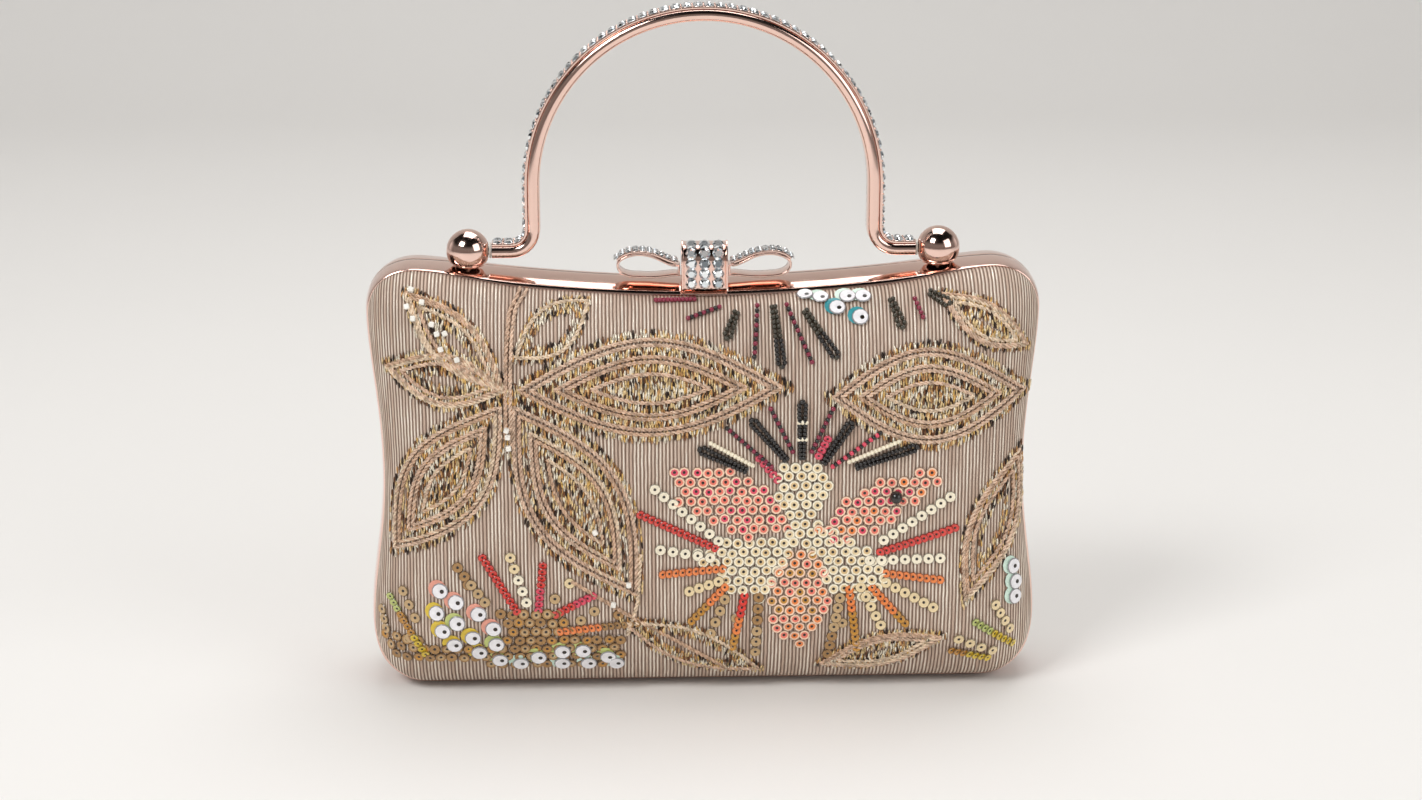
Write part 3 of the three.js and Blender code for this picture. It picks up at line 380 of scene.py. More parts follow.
def rose_gold(settings):
    """Brass with a polished rose-gold plating: a mirror with a faint cloudiness from handling."""
    material, tree = start_material("rose_gold_plating")
    cloud = add_node(tree, "TexNoise", {"Vector": object_place(tree), "Scale": grain(11.11), "Detail": 4})
    stops = [(0.3, grey(0.07)), (0.75, grey(0.16))]
    rough = add_node(tree, "ValToRGB", {"Fac": cloud.outputs["Fac"]}, stops)
    surface = add_node(tree, "BsdfPrincipled", {
        "Base Color": settings.rose_gold, "Metallic": 1, "Roughness": rough.outputs[0],
    })
    end_material(tree, surface)
    return material


def satin_steel(name="satin_steel", colour="#B4B1AC"):
    """Nickel-plated steel of the works, tumbled to a satin grey."""
    material, tree = start_material(name)
    place = object_place(tree, (1, 6, 1))
    marks = add_node(tree, "TexNoise", {"Vector": place, "Scale": grain(2.5), "Detail": 3})
    rough = add_node(tree, "ValToRGB", {"Fac": marks.outputs["Fac"]}, [(0.3, grey(0.24)), (0.7, grey(0.4))])
    surface = add_node(tree, "BsdfPrincipled", {
        "Base Color": linear(colour), "Metallic": 1, "Roughness": rough.outputs[0],
    })
    end_material(tree, surface)
    return material


def moulded_plastic(name, dark, light, roughness):
    """Injection-moulded plastic with a fine spark-eroded texture."""
    material, tree = start_material(name)
    pits = add_node(tree, "TexNoise", {"Vector": object_place(tree), "Scale": grain(1.111), "Detail": 3})
    stops = [(0.3, linear(dark)), (0.7, linear(light))]
    tint = add_node(tree, "ValToRGB", {"Fac": pits.outputs["Fac"]}, stops)
    bump = add_node(tree, "Bump", {"Height": pits.outputs["Fac"], "Strength": 0.3, "Distance": 0.05 * MM})
    surface = add_node(tree, "BsdfPrincipled", {
        "Base Color": tint.outputs[0], "Roughness": roughness, "Normal": bump.outputs[0],
    })
    end_material(tree, surface)
    return material


def satin_lining(settings):
    """Polyester satin laid in the trays: long smooth floats with a soft sheen."""
    material, tree = start_material("satin_lining")
    place = object_place(tree, (1, 1, 8))
    floats = add_node(tree, "TexNoise", {"Vector": place, "Scale": grain(4), "Detail": 3})
    stops = [(0.3, shaded(settings.lining, 0.72)), (0.7, settings.lining)]
    tint = add_node(tree, "ValToRGB", {"Fac": floats.outputs["Fac"]}, stops)
    bump = add_node(tree, "Bump", {"Height": floats.outputs["Fac"], "Strength": 0.25, "Distance": 0.1 * MM})
    surface = add_node(tree, "BsdfPrincipled", {
        "Base Color": tint.outputs[0], "Roughness": 0.42, "Sheen Weight": 0.3, "Normal": bump.outputs[0],
    })
    end_material(tree, surface)
    return material


def cut_crystal():
    """Lead-free crystal, machine cut and foil-backed: each facet's own attribute paints it bright or dark,
    as painted glints and painted dark reflections.
    """
    material, tree = start_material("cut_crystal")
    facet = add_node(tree, "Attribute", attribute_name="tint")
    surface = add_node(tree, "BsdfPrincipled", {
        "Base Color": facet.outputs["Color"], "Metallic": 0.75, "Roughness": 0.04, "Coat Weight": 1.0,
        "Coat Roughness": 0.02,
    })
    end_material(tree, surface)
    return material


def metallic_yarn(name, metallic, roughness, fleck):
    """Lurex yarn: a flat foil strip wound on thread, so its colour breaks up along its length."""
    material, tree = start_material(name)
    tint = add_node(tree, "Attribute", attribute_name="tint")
    flecks = add_node(tree, "TexNoise", {"Vector": object_place(tree), "Scale": grain(fleck), "Detail": 2})
    stops = [(0.35, (0.52, 0.5, 0.48, 1)), (0.6, grey(1))]
    shade = add_node(tree, "ValToRGB", {"Fac": flecks.outputs["Fac"]}, stops)
    mix = add_node(
        tree, "Mix", {0: 1.0, 6: tint.outputs["Color"], 7: shade.outputs[0]},
        data_type="RGBA", blend_type="MULTIPLY",
    )
    surface = add_node(tree, "BsdfPrincipled", {
        "Base Color": mix.outputs[2], "Metallic": metallic, "Roughness": roughness,
    })
    end_material(tree, surface)
    return material


def sequin_film():
    """Pearl-coated polyester sequins and glass beads: smooth, with a clear glossy coat."""
    material, tree = start_material("sequin_film")
    tint = add_node(tree, "Attribute", attribute_name="tint")
    pearl = add_node(tree, "TexNoise", {"Vector": object_place(tree), "Scale": grain(2), "Detail": 2})
    shade = add_node(tree, "ValToRGB", {"Fac": pearl.outputs["Fac"]}, [(0.3, grey(0.86)), (0.7, grey(1))])
    mix = add_node(
        tree, "Mix", {0: 1.0, 6: tint.outputs["Color"], 7: shade.outputs[0]},
        data_type="RGBA", blend_type="MULTIPLY",
    )
    surface = add_node(tree, "BsdfPrincipled", {
        "Base Color": mix.outputs[2], "Roughness": 0.28, "Coat Weight": 0.5, "Coat Roughness": 0.1,
    })
    end_material(tree, surface)
    return material


def paper(settings):
    """Matt background paper with a very faint unevenness."""
    material, tree = start_material("background_paper")
    cloud = add_node(tree, "TexNoise", {"Vector": object_place(tree), "Scale": grain(333.3), "Detail": 3})
    stops = [(0.3, shaded(settings.floor, 0.985)), (0.7, settings.floor)]
    tint = add_node(tree, "ValToRGB", {"Fac": cloud.outputs["Fac"]}, stops)
    surface = add_node(tree, "BsdfPrincipled", {"Base Color": tint.outputs[0], "Roughness": 0.9})
    end_material(tree, surface)
    return material


def shade_past(mesh, degrees):
    """Smooth shading, with the edges past an angle kept sharp."""
    mesh.shade_smooth()
    mesh.set_sharp_from_angle(angle=math.radians(degrees))


def mesh_from(bm, name, smooth_angle=None):
    """Ends a bmesh: to metres, into a mesh, smooth with sharp edges past an angle."""
    bmesh.ops.scale(bm, vec=(MM, MM, MM), verts=bm.verts)
    mesh = bpy.data.meshes.new(name)
    bm.to_mesh(mesh)
    bm.free()
    if smooth_angle is not None:
        shade_past(mesh, smooth_angle)
    return mesh


def add_piece(name, mesh, material, body, replaces=()):
    """Adds a finished mesh as a piece that rides on a body of the frame."""
    piece = bpy.data.objects.new(name, mesh)
    bpy.context.scene.collection.objects.link(piece)
    mesh.materials.append(material)
    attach(piece, body)
    if replaces:
        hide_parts(*replaces)
    return piece


def dress_nodes(material, *names):
    """Gives CAD nodes that stay as they are their finish."""
    for name in names:
        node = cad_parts[name]
        node.data.materials.clear()
        node.data.materials.append(material)


def cut_out(piece, cutters):
    """Cuts closed bmeshes, in millimetres, out of a piece."""
    tools = []
    for cutter in cutters:
        mesh = mesh_from(cutter, "cutter")
        tool = bpy.data.objects.new("cutter", mesh)
        bpy.context.scene.collection.objects.link(tool)
        tools.append(tool)
        modifier = piece.modifiers.new("cut", "BOOLEAN")
        modifier.operation = "DIFFERENCE"
        modifier.solver = "EXACT"
        modifier.object = tool
    bpy.context.view_layer.update()
    shaped = bpy.data.meshes.new_from_object(piece.evaluated_get(bpy.context.evaluated_depsgraph_get()))
    piece.modifiers.clear()
    old = piece.data
    piece.data = shaped
    bpy.data.meshes.remove(old)
    for tool in tools:
        bpy.data.meshes.remove(tool.data)


def box_mesh(low, high):
    """A closed box between two corners, as a bmesh."""
    bm = bmesh.new()
    low, high = Vector(low), Vector(high)
    size = Matrix.Diagonal((*(high - low), 1))
    bmesh.ops.create_cube(bm, size=1, matrix=Matrix.Translation((low + high) / 2) @ size)
    return bm


def bar_mesh(radius, x0, x1, y, z, segments=24):
    """A closed round bar along X, as a bmesh."""
    bm = bmesh.new()
    turn = Matrix.Rotation(math.pi / 2, 4, "Y")
    bmesh.ops.create_cone(
        bm, cap_ends=True, segments=segments, radius1=radius, radius2=radius, depth=abs(x1 - x0),
        matrix=Matrix.Translation(((x0 + x1) / 2, y, z)) @ turn,
    )
    return bm


def add_ring(bm, points):
    """A closed loop of edges through points."""
    verts = [bm.verts.new(p) for p in points]
    return [bm.edges.new((a, b)) for a, b in zip(verts, verts[1:] + verts[:1])]


def loft(rings, closed):
    """Rings of equal point counts bridged in turn: a closed loft meets its first ring again."""
    bm = bmesh.new()
    loops = [add_ring(bm, ring) for ring in rings]
    pairs = list(zip(loops, loops[1:]))
    if closed:
        pairs.append((loops[-1], loops[0]))
    for a, b in pairs:
        bmesh.ops.bridge_loops(bm, edges=a + b)
    return bm


def case_outline():
    """Front-view outline of the case: foot, hips, waist, shoulders and the dipped top, as (x, z)."""
    up = Vector((0, 1))
    across = Vector((1, 0))
    slant = Vector((-1, -CORNER_SLOPE))
    stretches = [
        (FOOT, FOOT + across * FOOT_REACH, HIP - up * HIP_REACH[0], HIP),
        (HIP, HIP + up * HIP_REACH[1], WAIST - up * WAIST_REACH[0], WAIST),
        (WAIST, WAIST + up * WAIST_REACH[1], SHOULDER - up * SHOULDER_REACH[0], SHOULDER),
        (SHOULDER, SHOULDER + up * SHOULDER_REACH[1], CORNER - slant * CORNER_REACH[0], CORNER),
        (CORNER, CORNER + slant * CORNER_REACH[1], DIP + across * DIP_REACH, DIP),
    ]
    right = []
    for knots in stretches:
        right += interpolate_bezier(*knots, CURVE_PARTS + 1)[:-1]
    right = [Vector(p[:2]) for p in right]
    left = [Vector((-p.x, p.y)) for p in reversed(right)]
    foot = [Vector((-FOOT.x + 2 * FOOT.x * k / FOOT_PARTS, 0)) for k in range(1, FOOT_PARTS)]
    return right + [DIP.copy()] + left + foot


OUTLINE = case_outline()
BEFORE_AND_AFTER = zip(OUTLINE[-1:] + OUTLINE[:-1], OUTLINE[1:] + OUTLINE[:1])
INWARD = [Vector((a.y - b.y, b.x - a.x)).normalized() for a, b in BEFORE_AND_AFTER]


def ring_at(side, inset, depth):
    """The outline set in by an amount, at a distance from the parting plane."""
    ring = []
    for point, inward in zip(OUTLINE, INWARD):
        shift = inset(point) if callable(inset) else inset
        spot = point + inward * shift
        ring.append(Vector((spot.x, side * depth, spot.y)))
    return ring


def distance_inside(points):
    """Distance of each (x, z) from the outline."""
    points = np.asarray(points)
    nearest = np.full(len(points), np.inf)
    for a, b in zip(OUTLINE, OUTLINE[1:] + OUTLINE[:1]):
        start, along = np.array(a), np.array(b - a)
        share = np.clip((points - start) @ along / (along @ along), 0, 1)
        gap = points - (start + share[:, None] * along)
        nearest = np.minimum(nearest, np.hypot(gap[:, 0], gap[:, 1]))
    return nearest


def smooth_share(value, low, high):
    """0 below low, 1 above high, smooth between. Takes numbers and arrays."""
    share = np.clip((value - low) / (high - low), 0, 1)
    return share * share * (3 - 2 * share)


def rounding_at(x, z):
    """How far the frame's face rounds in: most along the middle of the top, little at sides and foot."""
    high = smooth_share(z, WAIST.y, DIP.y - FRAME_ROUNDING)
    out = smooth_share(np.abs(x), FULL_ROUNDING_HALF, CORNER.x)
    return SIDE_ROUNDING + (FRAME_ROUNDING - SIDE_ROUNDING) * high * (1 - out)


def standing(point):
    """0 where the case stands, 1 above the hips, smooth between."""
    return smooth_share(point.y, 0, HIP.y)


def frame_mesh(side):
    """One half of the frame: a band with a rounded outer face, flat where the bag stands."""
    section = [(EDGE_ROUND, PARTING_HALF), (EDGE_ROUND * 0.3, PARTING_HALF + EDGE_ROUND * 0.3)]
    start = EDGE_ROUND * 0.2
    for k in range(FACE_STEPS + 1):
        share = start + (1 - start) * math.sin(math.pi / 2 * k / FACE_STEPS)
        curve = (1 - math.sqrt(max(1 - share * share, 0))) ** FACE_POWER
        depth = share * FRAME_DEPTH
        least = 0
        if depth > BASE_HALF:
            least = FOOT_RELIEF * (depth - BASE_HALF) / (FRAME_DEPTH - BASE_HALF)
        section.append((lambda p, c=curve, m=least: rounding_at(p.x, p.y) * c * max(standing(p), m), depth))

    def lip(reach):
        return lambda p: rounding_at(p.x, p.y) + FRAME_LIP + reach

    section += [
        (lip(-LIP_BEVEL), FRAME_DEPTH), (lip(0), FRAME_DEPTH - LIP_ROUND), (lip(-LIP_ROUND), LEDGE_DEPTH),
        (FRAME_WALL, LEDGE_DEPTH - LEDGE_SLOPE), (FRAME_WALL, PARTING_HALF),
    ]
    bm = loft([ring_at(side, inset, depth) for inset, depth in section], True)
    bmesh.ops.recalc_face_normals(bm, faces=bm.faces)
    return bm


def groove_mesh():
    """The V under the foot that lets the halves part."""
    spread = GROOVE_DROP * math.tan(GROOVE_HALF_ANGLE)
    foot = HINGE_HEIGHT - GROOVE_DROP
    profile = [(0, HINGE_HEIGHT), (-spread, foot), (spread, foot)]
    bm = bmesh.new()
    face = bm.faces.new([bm.verts.new((-HIP.x, y, z)) for y, z in profile])
    moved = bmesh.ops.extrude_face_region(bm, geom=[face])["geom"]
    verts = [v for v in moved if isinstance(v, bmesh.types.BMVert)]
    bmesh.ops.translate(bm, vec=(2 * HIP.x, 0, 0), verts=verts)
    bmesh.ops.recalc_face_normals(bm, faces=bm.faces)
    return bm


def stem_slot():
    """Room in the front frame for the clasp's stem."""
    half = STEM_DEPTH / 2
    before, behind = STEM_SLOT_SPARE
    low, high = STEM_SLOT_HEIGHTS
    return box_mesh(
        (-STEM_SLOT_HALF, HANDLE_Y - half - before, low), (STEM_SLOT_HALF, HANDLE_Y + half + behind, high)
    )


def build_frames(context):
    """Both frame halves, with room for the hinges and the clasp's stem."""
    metal = rose_gold(context.scene.bag_metal)
    reach, room = HINGE_ROOM
    for half, side in HALVES:
        mesh = mesh_from(frame_mesh(side), f"{half}_frame_band")
        piece = add_piece(f"{half}_frame_band", mesh, metal, f"{half}_half", [f"{half}_frame"])
        cutters = [groove_mesh()]
        for hand in (-1, 1):
            middle = hand * HINGE_OFFSET
            low, high = (middle - reach, -room, -1), (middle + reach, room, HINGE_HEIGHT + room)
            cutters.append(box_mesh(low, high))
        if half == "front":
            cutters.append(stem_slot())
        cut_out(piece, cutters)
        shade_past(piece.data, 28)


def pillow(inside):
    """Distance of the cover from the parting plane, at a distance inside its rim."""
    share = np.clip(1 - np.asarray(inside) / BULGE_REACH, 0, 1)
    return COVER_START + BULGE * np.sqrt(1 - share * share)


def pillow_surface(side):
    """The cover's outer skin, from its rim to the middle."""
    rim = ring_at(side, lambda p: rounding_at(p.x, p.y) + RIM_STEP_IN, COVER_START)
    middle = Vector((0, 0, WAIST.y))
    rings = []
    for k in range(COVER_RINGS + 1):
        share = SKIN_REACH * (k / COVER_RINGS) ** RING_SPREAD
        ring = [p.lerp(Vector((middle.x, p.y, middle.z)), share) for p in rim]
        spots = np.array([(p.x, p.z) for p in ring])
        inside = np.maximum(distance_inside(spots) - rounding_at(*spots.T) - RIM_STEP_IN, 0)
        if k == 0:
            inside = np.zeros(len(ring))
        depths = pillow(inside) + CROWN * share
        rings.append([Vector((p.x, side * y, p.z)) for p, y in zip(ring, depths)])
    bm = loft(rings, False)
    inner = [v for v in bm.verts if abs(v.co.y) > COVER_START + BULGE / 2]
    hole = {e for v in inner for e in v.link_edges if e.is_boundary}
    bmesh.ops.holes_fill(bm, edges=list(hole), sides=0)
    for _ in range(SMOOTHING_PASSES):
        bmesh.ops.smooth_vert(
            bm, verts=inner, factor=0.5, use_axis_x=True, use_axis_y=True, use_axis_z=True
        )
    bmesh.ops.recalc_face_normals(bm, faces=bm.faces)
    turn_outwards(bm, side)
    return bm


def turn_outwards(bm, side):
    """Turns an open skin so that it faces away from the parting plane."""
    bm.faces.ensure_lookup_table()
    facing = sum(f.normal.y * f.calc_area() for f in bm.faces)
    if facing * side < 0:
        bmesh.ops.reverse_faces(bm, faces=bm.faces)
    bm.normal_update()


def shell_mesh(side, set_back, tuck):
    """A layer of the case: the cover's skin set back, with its rim carried on towards the parting plane."""
    bm = pillow_surface(side)
    if set_back:
        shifts = [(v, v.normal.copy()) for v in bm.verts]
        for vert, normal in shifts:
            vert.co -= normal * set_back
    if tuck:
        rim = [e for e in bm.edges if e.is_boundary]
        moved = bmesh.ops.extrude_edge_only(bm, edges=rim)["geom"]
        verts = [v for v in moved if isinstance(v, bmesh.types.BMVert)]
        for vert in verts:
            vert.co.y = side * (COVER_START - tuck)
        bm.normal_update()
    return bm


def lay_flat(mesh, parts=36):
    """Gives a cover its own flat coordinates: how far each point is from the middle along the cloth."""
    spots = np.array([tuple(v.co) for v in mesh.vertices]) / MM
    flank = OUTLINE[:3 * CURVE_PARTS + 1]
    height = np.clip(spots[:, 2], HIP.y, SHOULDER.y)
    edge = np.interp(height, [p.y for p in flank], [p.x for p in flank])
    shares = 1 - (1 - np.linspace(0, 1, parts + 1)) ** FLAT_CROWDING
    across = spots[:, :1] * shares
    inside = edge[:, None] - SIDE_ROUNDING - RIM_STEP_IN - np.abs(across)
    rise = np.diff(pillow(np.maximum(inside, 0)), axis=1)
    reach = np.hypot(np.diff(across, axis=1), rise).sum(axis=1)
    flat = np.stack([np.copysign(reach, spots[:, 0]), np.zeros(len(spots)), spots[:, 2]], axis=1) * MM
    layer = mesh.attributes.new("laid_flat", "FLOAT_VECTOR", "POINT")
    layer.data.foreach_set("vector", flat.astype(np.float32).ravel())


def thicken(piece, wall):
    """Gives a skin its wall, on its inner side."""
    modifier = piece.modifiers.new("wall", "SOLIDIFY")
    modifier.thickness = wall * MM
    modifier.offset = -1
    modifier.use_even_offset = False


def build_covers(context):
    """The fabric of the front and the back."""
    cloth = ribbed_fabric(context.scene.bag_fabric)
    for half, side in HALVES:
        mesh = mesh_from(shell_mesh(side, 0, 0), f"{half}_cover_cloth", 180)
        lay_flat(mesh)
        piece = add_piece(
            f"{half}_cover_cloth", mesh, cloth, f"{half}_half", [f"{half}_cover"]
        )
        thicken(piece, COVER_WALL)


def build_trays(context):
    """Pans and linings, with room for the clasp cut out of both."""
    plastic = moulded_plastic("moulded_pan", "#232122", "#343132", 0.55)
    satin = satin_lining(context.scene.bag_fabric)
    layers = (
        ("pan", PAN_BACK, PAN_WALL, PAN_TUCK, plastic, "moulded_pan"),
        ("lining", LINING_BACK, LINING_WALL, LINING_TUCK, satin, "satin_lining"),
    )
    for half, side in HALVES:
        for layer, set_back, wall, tuck, material, slot in layers:
            name = f"{half}_{layer}_shell"
            mesh = mesh_from(shell_mesh(side, set_back, tuck), name)
            piece = add_piece(name, mesh, material, f"{half}_half", [f"{half}_{layer}"])
            thicken(piece, wall)
            cut_out(piece, [box_mesh(*CLASP_ROOM)])
            shade_past(piece.data, 50)


def bezier_path(knots, parts):
    """Points along a chain of cubic curves, each given by four points."""
    points = []
    for four in knots:
        points += interpolate_bezier(*four, parts + 1)[:-1]
    return points + [Vector(knots[-1][3])]


def handle_path(parts=20):
    """Middle line of the handle: foot, bend, leg, half-circle, leg, bend, foot."""
    def at(x, z):
        return Vector((x, HANDLE_Y, z))

    bend_top = PIVOT_HEIGHT + FOOT_BEND
    bend_side = ARCH_RADIUS + FOOT_BEND
    easing = ROUND_SHARE * FOOT_BEND
    foot_reach, leg_reach = 2, 4
    foot, bend_start = at(-FOOT_END, PIVOT_HEIGHT), at(-bend_side, PIVOT_HEIGHT)
    bend_end, arch_start = at(-ARCH_RADIUS, bend_top), at(-ARCH_RADIUS, ARCH_CENTRE_HEIGHT)
    half = [
        [foot, at(-FOOT_END + foot_reach, PIVOT_HEIGHT), at(-bend_side - foot_reach, PIVOT_HEIGHT),
         bend_start],
        [bend_start, at(-bend_side + easing, PIVOT_HEIGHT), at(-ARCH_RADIUS, bend_top - easing), bend_end],
        [bend_end, at(-ARCH_RADIUS, bend_top + leg_reach), at(-ARCH_RADIUS, ARCH_CENTRE_HEIGHT - leg_reach),
         arch_start],
    ]
    mirror = [[Vector((-p.x, p.y, p.z)) for p in reversed(four)] for four in reversed(half)]
    arch = [
        at(-ARCH_RADIUS * math.cos(a), ARCH_CENTRE_HEIGHT + ARCH_RADIUS * math.sin(a))
        for a in np.linspace(0, math.pi, 6 * parts + 1)
    ]
    return bezier_path(half, parts)[:-1] + arch + bezier_path(mirror, parts)[1:]


def even_points(points, step):
    """Points at even steps along a line through points, with the direction at each."""
    points = [Vector(p) for p in points]
    reach = [0]
    for a, b in zip(points, points[1:]):
        reach.append(reach[-1] + (b - a).length)
    count = max(int(round(reach[-1] / step)), 1)
    table = np.array([tuple(p) for p in points])
    marks = np.linspace(0, reach[-1], count + 1)
    columns = [np.interp(marks, reach, column) for column in table.T]
    spots = [Vector(spot) for spot in zip(*columns)]
    ahead = spots[1:] + spots[-1:]
    behind = spots[:1] + spots[:-1]
    return [(p, (a - b).normalized()) for p, a, b in zip(spots, ahead, behind)]


def outward_of(along):
    """Square to a direction in the front view: away from the middle on a line that runs clockwise."""
    return Vector((-along.z, 0, along.x)).normalized()


def swept(spots, section):
    """A closed bar swept along spots: its section is given as outward and backward offsets."""
    rings = []
    for point, along in spots:
        outward = outward_of(along)
        rings.append([point + outward * out + Vector((0, back, 0)) for out, back in section])
    bm = loft(rings, False)
    ends = [e for e in bm.edges if e.is_boundary]
    bmesh.ops.holes_fill(bm, edges=ends, sides=len(section))
    bmesh.ops.recalc_face_normals(bm, faces=bm.faces)
    return bm


def rounded_rectangle(half_out, half_back, corner, parts=4):
    """Points of a rectangle with round corners."""
    points = []
    for quarter, (a, b) in enumerate(((1, 1), (-1, 1), (-1, -1), (1, -1))):
        for k in range(parts + 1):
            angle = math.pi / 2 * (quarter + k / parts)
            points.append((
                a * (half_out - corner) + corner * math.cos(angle),
                b * (half_back - corner) + corner * math.sin(angle),
            ))
    return points


def template_mesh(bm):
    """A small repeated shape as arrays: its corners, its faces and the zone of each face.

    The faces are put in order by their middles, because the operators list them differently each run.
    """
    bm.verts.index_update()
    corners = np.array([tuple(v.co) for v in bm.verts])
    ordered = sorted(bm.faces, key=lambda f: tuple(round(c, 4) for c in f.calc_center_median()))
    faces = [[v.index for v in f.verts] for f in ordered]
    zones = [f.material_index for f in ordered]
    bm.free()
    return corners, faces, zones


def scatter(name, copies, random_zones=None):
    """One mesh of many small copies. Each copy is a template, its place and the tint of each zone."""
    corners, faces, tints = [], [], []
    start = 0
    for (shape, shape_faces, zones), place, zone_tints in copies:
        turned = shape @ np.array(place.to_3x3()).T + np.array(place.translation)
        corners.append(turned)
        faces += [[start + i for i in face] for face in shape_faces]
        for face, zone in zip(shape_faces, zones):
            tint = zone_tints[zone] if random_zones is None else random_zones[zone]()
            tints += [tint] * len(face)
        start += len(shape)
    mesh = bpy.data.meshes.new(name)
    mesh.from_pydata((np.concatenate(corners) * MM).tolist(), [], faces)
    layer = mesh.color_attributes.new("tint", "FLOAT_COLOR", "CORNER")
    layer.data.foreach_set("color", np.array(tints, dtype=np.float32).ravel())
    mesh.validate()
    return mesh


def basis(place, normal, along):
    """A place whose Z is the normal and whose X runs along a direction."""
    normal = normal.normalized()
    side = normal.cross(along).normalized()
    turn = Matrix((side.cross(normal), side, normal)).transposed().to_4x4()
    return Matrix.Translation(place) @ turn


def stone_template(diameter):
    """A cut stone: a round girdle, a crown of slanted facets and a flat table, closed below."""
    bm = bmesh.new()
    sides = 8
    half = diameter / 2
    bmesh.ops.create_circle(bm, cap_ends=True, segments=sides, radius=half)
    face = bm.faces[:][0]
    girdle, crown, table = 0.12 * half, 0.42 * half, 0.56
    for lift, shrink in ((girdle, 1.0), (crown, table)):
        region = bmesh.ops.extrude_face_region(bm, geom=[face])["geom"]
        verts = [v for v in region if isinstance(v, bmesh.types.BMVert)]
        face = next(g for g in region if isinstance(g, bmesh.types.BMFace))
        bmesh.ops.translate(bm, vec=(0, 0, lift), verts=verts)
        bmesh.ops.scale(bm, vec=(shrink, shrink, 1), verts=verts)
        if shrink < 1:
            bmesh.ops.rotate(bm, matrix=Matrix.Rotation(math.pi / sides, 3, "Z"), verts=verts)
    slanted = [f for f in bm.faces if abs(f.normal.z) < 0.98]
    bmesh.ops.triangulate(bm, faces=slanted)
    bmesh.ops.recalc_face_normals(bm, faces=bm.faces)
    return template_mesh(bm)


def bead_template(diameter, across=8, along=5):
    """A round glass or metal bead."""
    bm = bmesh.new()
    bmesh.ops.create_uvsphere(bm, u_segments=across, v_segments=along, radius=diameter / 2)
    return template_mesh(bm)


# Facet colours from white to near black, as painted glints and painted dark reflections, and how often each
# comes
PAINTED_FACET_REFLECTIONS = [linear(c) for c in ("#FFFFFF", "#F3F6F8", "#E4EAEE", "#B8C2C9", "#6E777D", "#2F3438")]
PAINTED_REFLECTION_SHARES = (30, 22, 18, 14, 9, 7)


def painted_facet_reflection():
    """A painted glint or a painted dark reflection for one facet."""
    return random.choices(PAINTED_FACET_REFLECTIONS, PAINTED_REFLECTION_SHARES)[0]


def set_stones(name, spots, diameter, rows):
    """Rows of stones on spots given as place, outward and along, each row moved sideways."""
    stone = stone_template(diameter)
    copies = []
    for place, outward, along in spots:
        side = outward.cross(along).normalized()
        for row in rows:
            copies.append((stone, basis(place + side * row, outward, along), None))
    return scatter(name, copies, random_zones=[painted_facet_reflection])


def claw_mesh(name, spots, rows, diameter):
    """Metal claw beads between the stones of each row."""
    bead = bead_template(diameter, 6, 4)
    copies = []
    for place, outward, along in spots:
        side = outward.cross(along).normalized()
        for row in rows:
            copies.append((bead, basis(place + side * row, outward, along), [(1, 1, 1, 1)]))
    mesh = scatter(name, copies)
    mesh.shade_smooth()
    return mesh


def build_handle(context):
    """The arch, its strip of stones, and the claw beads between the stones."""
    settings = context.scene.bag_metal
    metal = rose_gold(settings)
    diameter, pitch = settings.stone_diameter / MM, settings.stone_pitch / MM
    section = rounded_rectangle(BAR_HEIGHT / 2, BAR_DEPTH / 2, BAR_ROUND)
    spots = even_points(handle_path(), HANDLE_STEP)
    bar = mesh_from(swept(spots, section), "handle_arch", 40)
    add_piece("handle_arch", bar, metal, "handle", ["handle_bar"])
    top = STRIP_THICKNESS / 2
    lift = BAR_HEIGHT / 2 + STRIP_LIFT
    strip_half = STONE_ROW_OFFSET + diameter / 2
    section = rounded_rectangle(top, strip_half, STRIP_ROUND, 2)
    line = [p + outward_of(a) * (lift + top) for p, a in spots]
    strip = mesh_from(swept(even_points(line, HANDLE_STEP), section), "handle_stone_setting", 40)
    add_piece("handle_stone_setting", strip, metal, "handle", ["handle_stones"])
    stones, claws = [], []
    for k, (place, along) in enumerate(even_points(line, pitch / 2)[1:-1]):
        outward = outward_of(along)
        (stones if k % 2 == 0 else claws).append((place + outward * top, outward, along))
    mesh = set_stones("handle_crystals", stones, diameter, (-STONE_ROW_OFFSET, STONE_ROW_OFFSET))
    add_piece("handle_crystals", mesh, cut_crystal(), "handle", ["handle_stones"])
    edge = strip_half - CLAW_INSET
    mesh = claw_mesh("handle_claws", claws, (-edge, 0, edge), CLAW_DIAMETER)
    add_piece("handle_claws", mesh, metal, "handle")
    dress_nodes(satin_steel(), "left_pivot_pin", "right_pivot_pin")


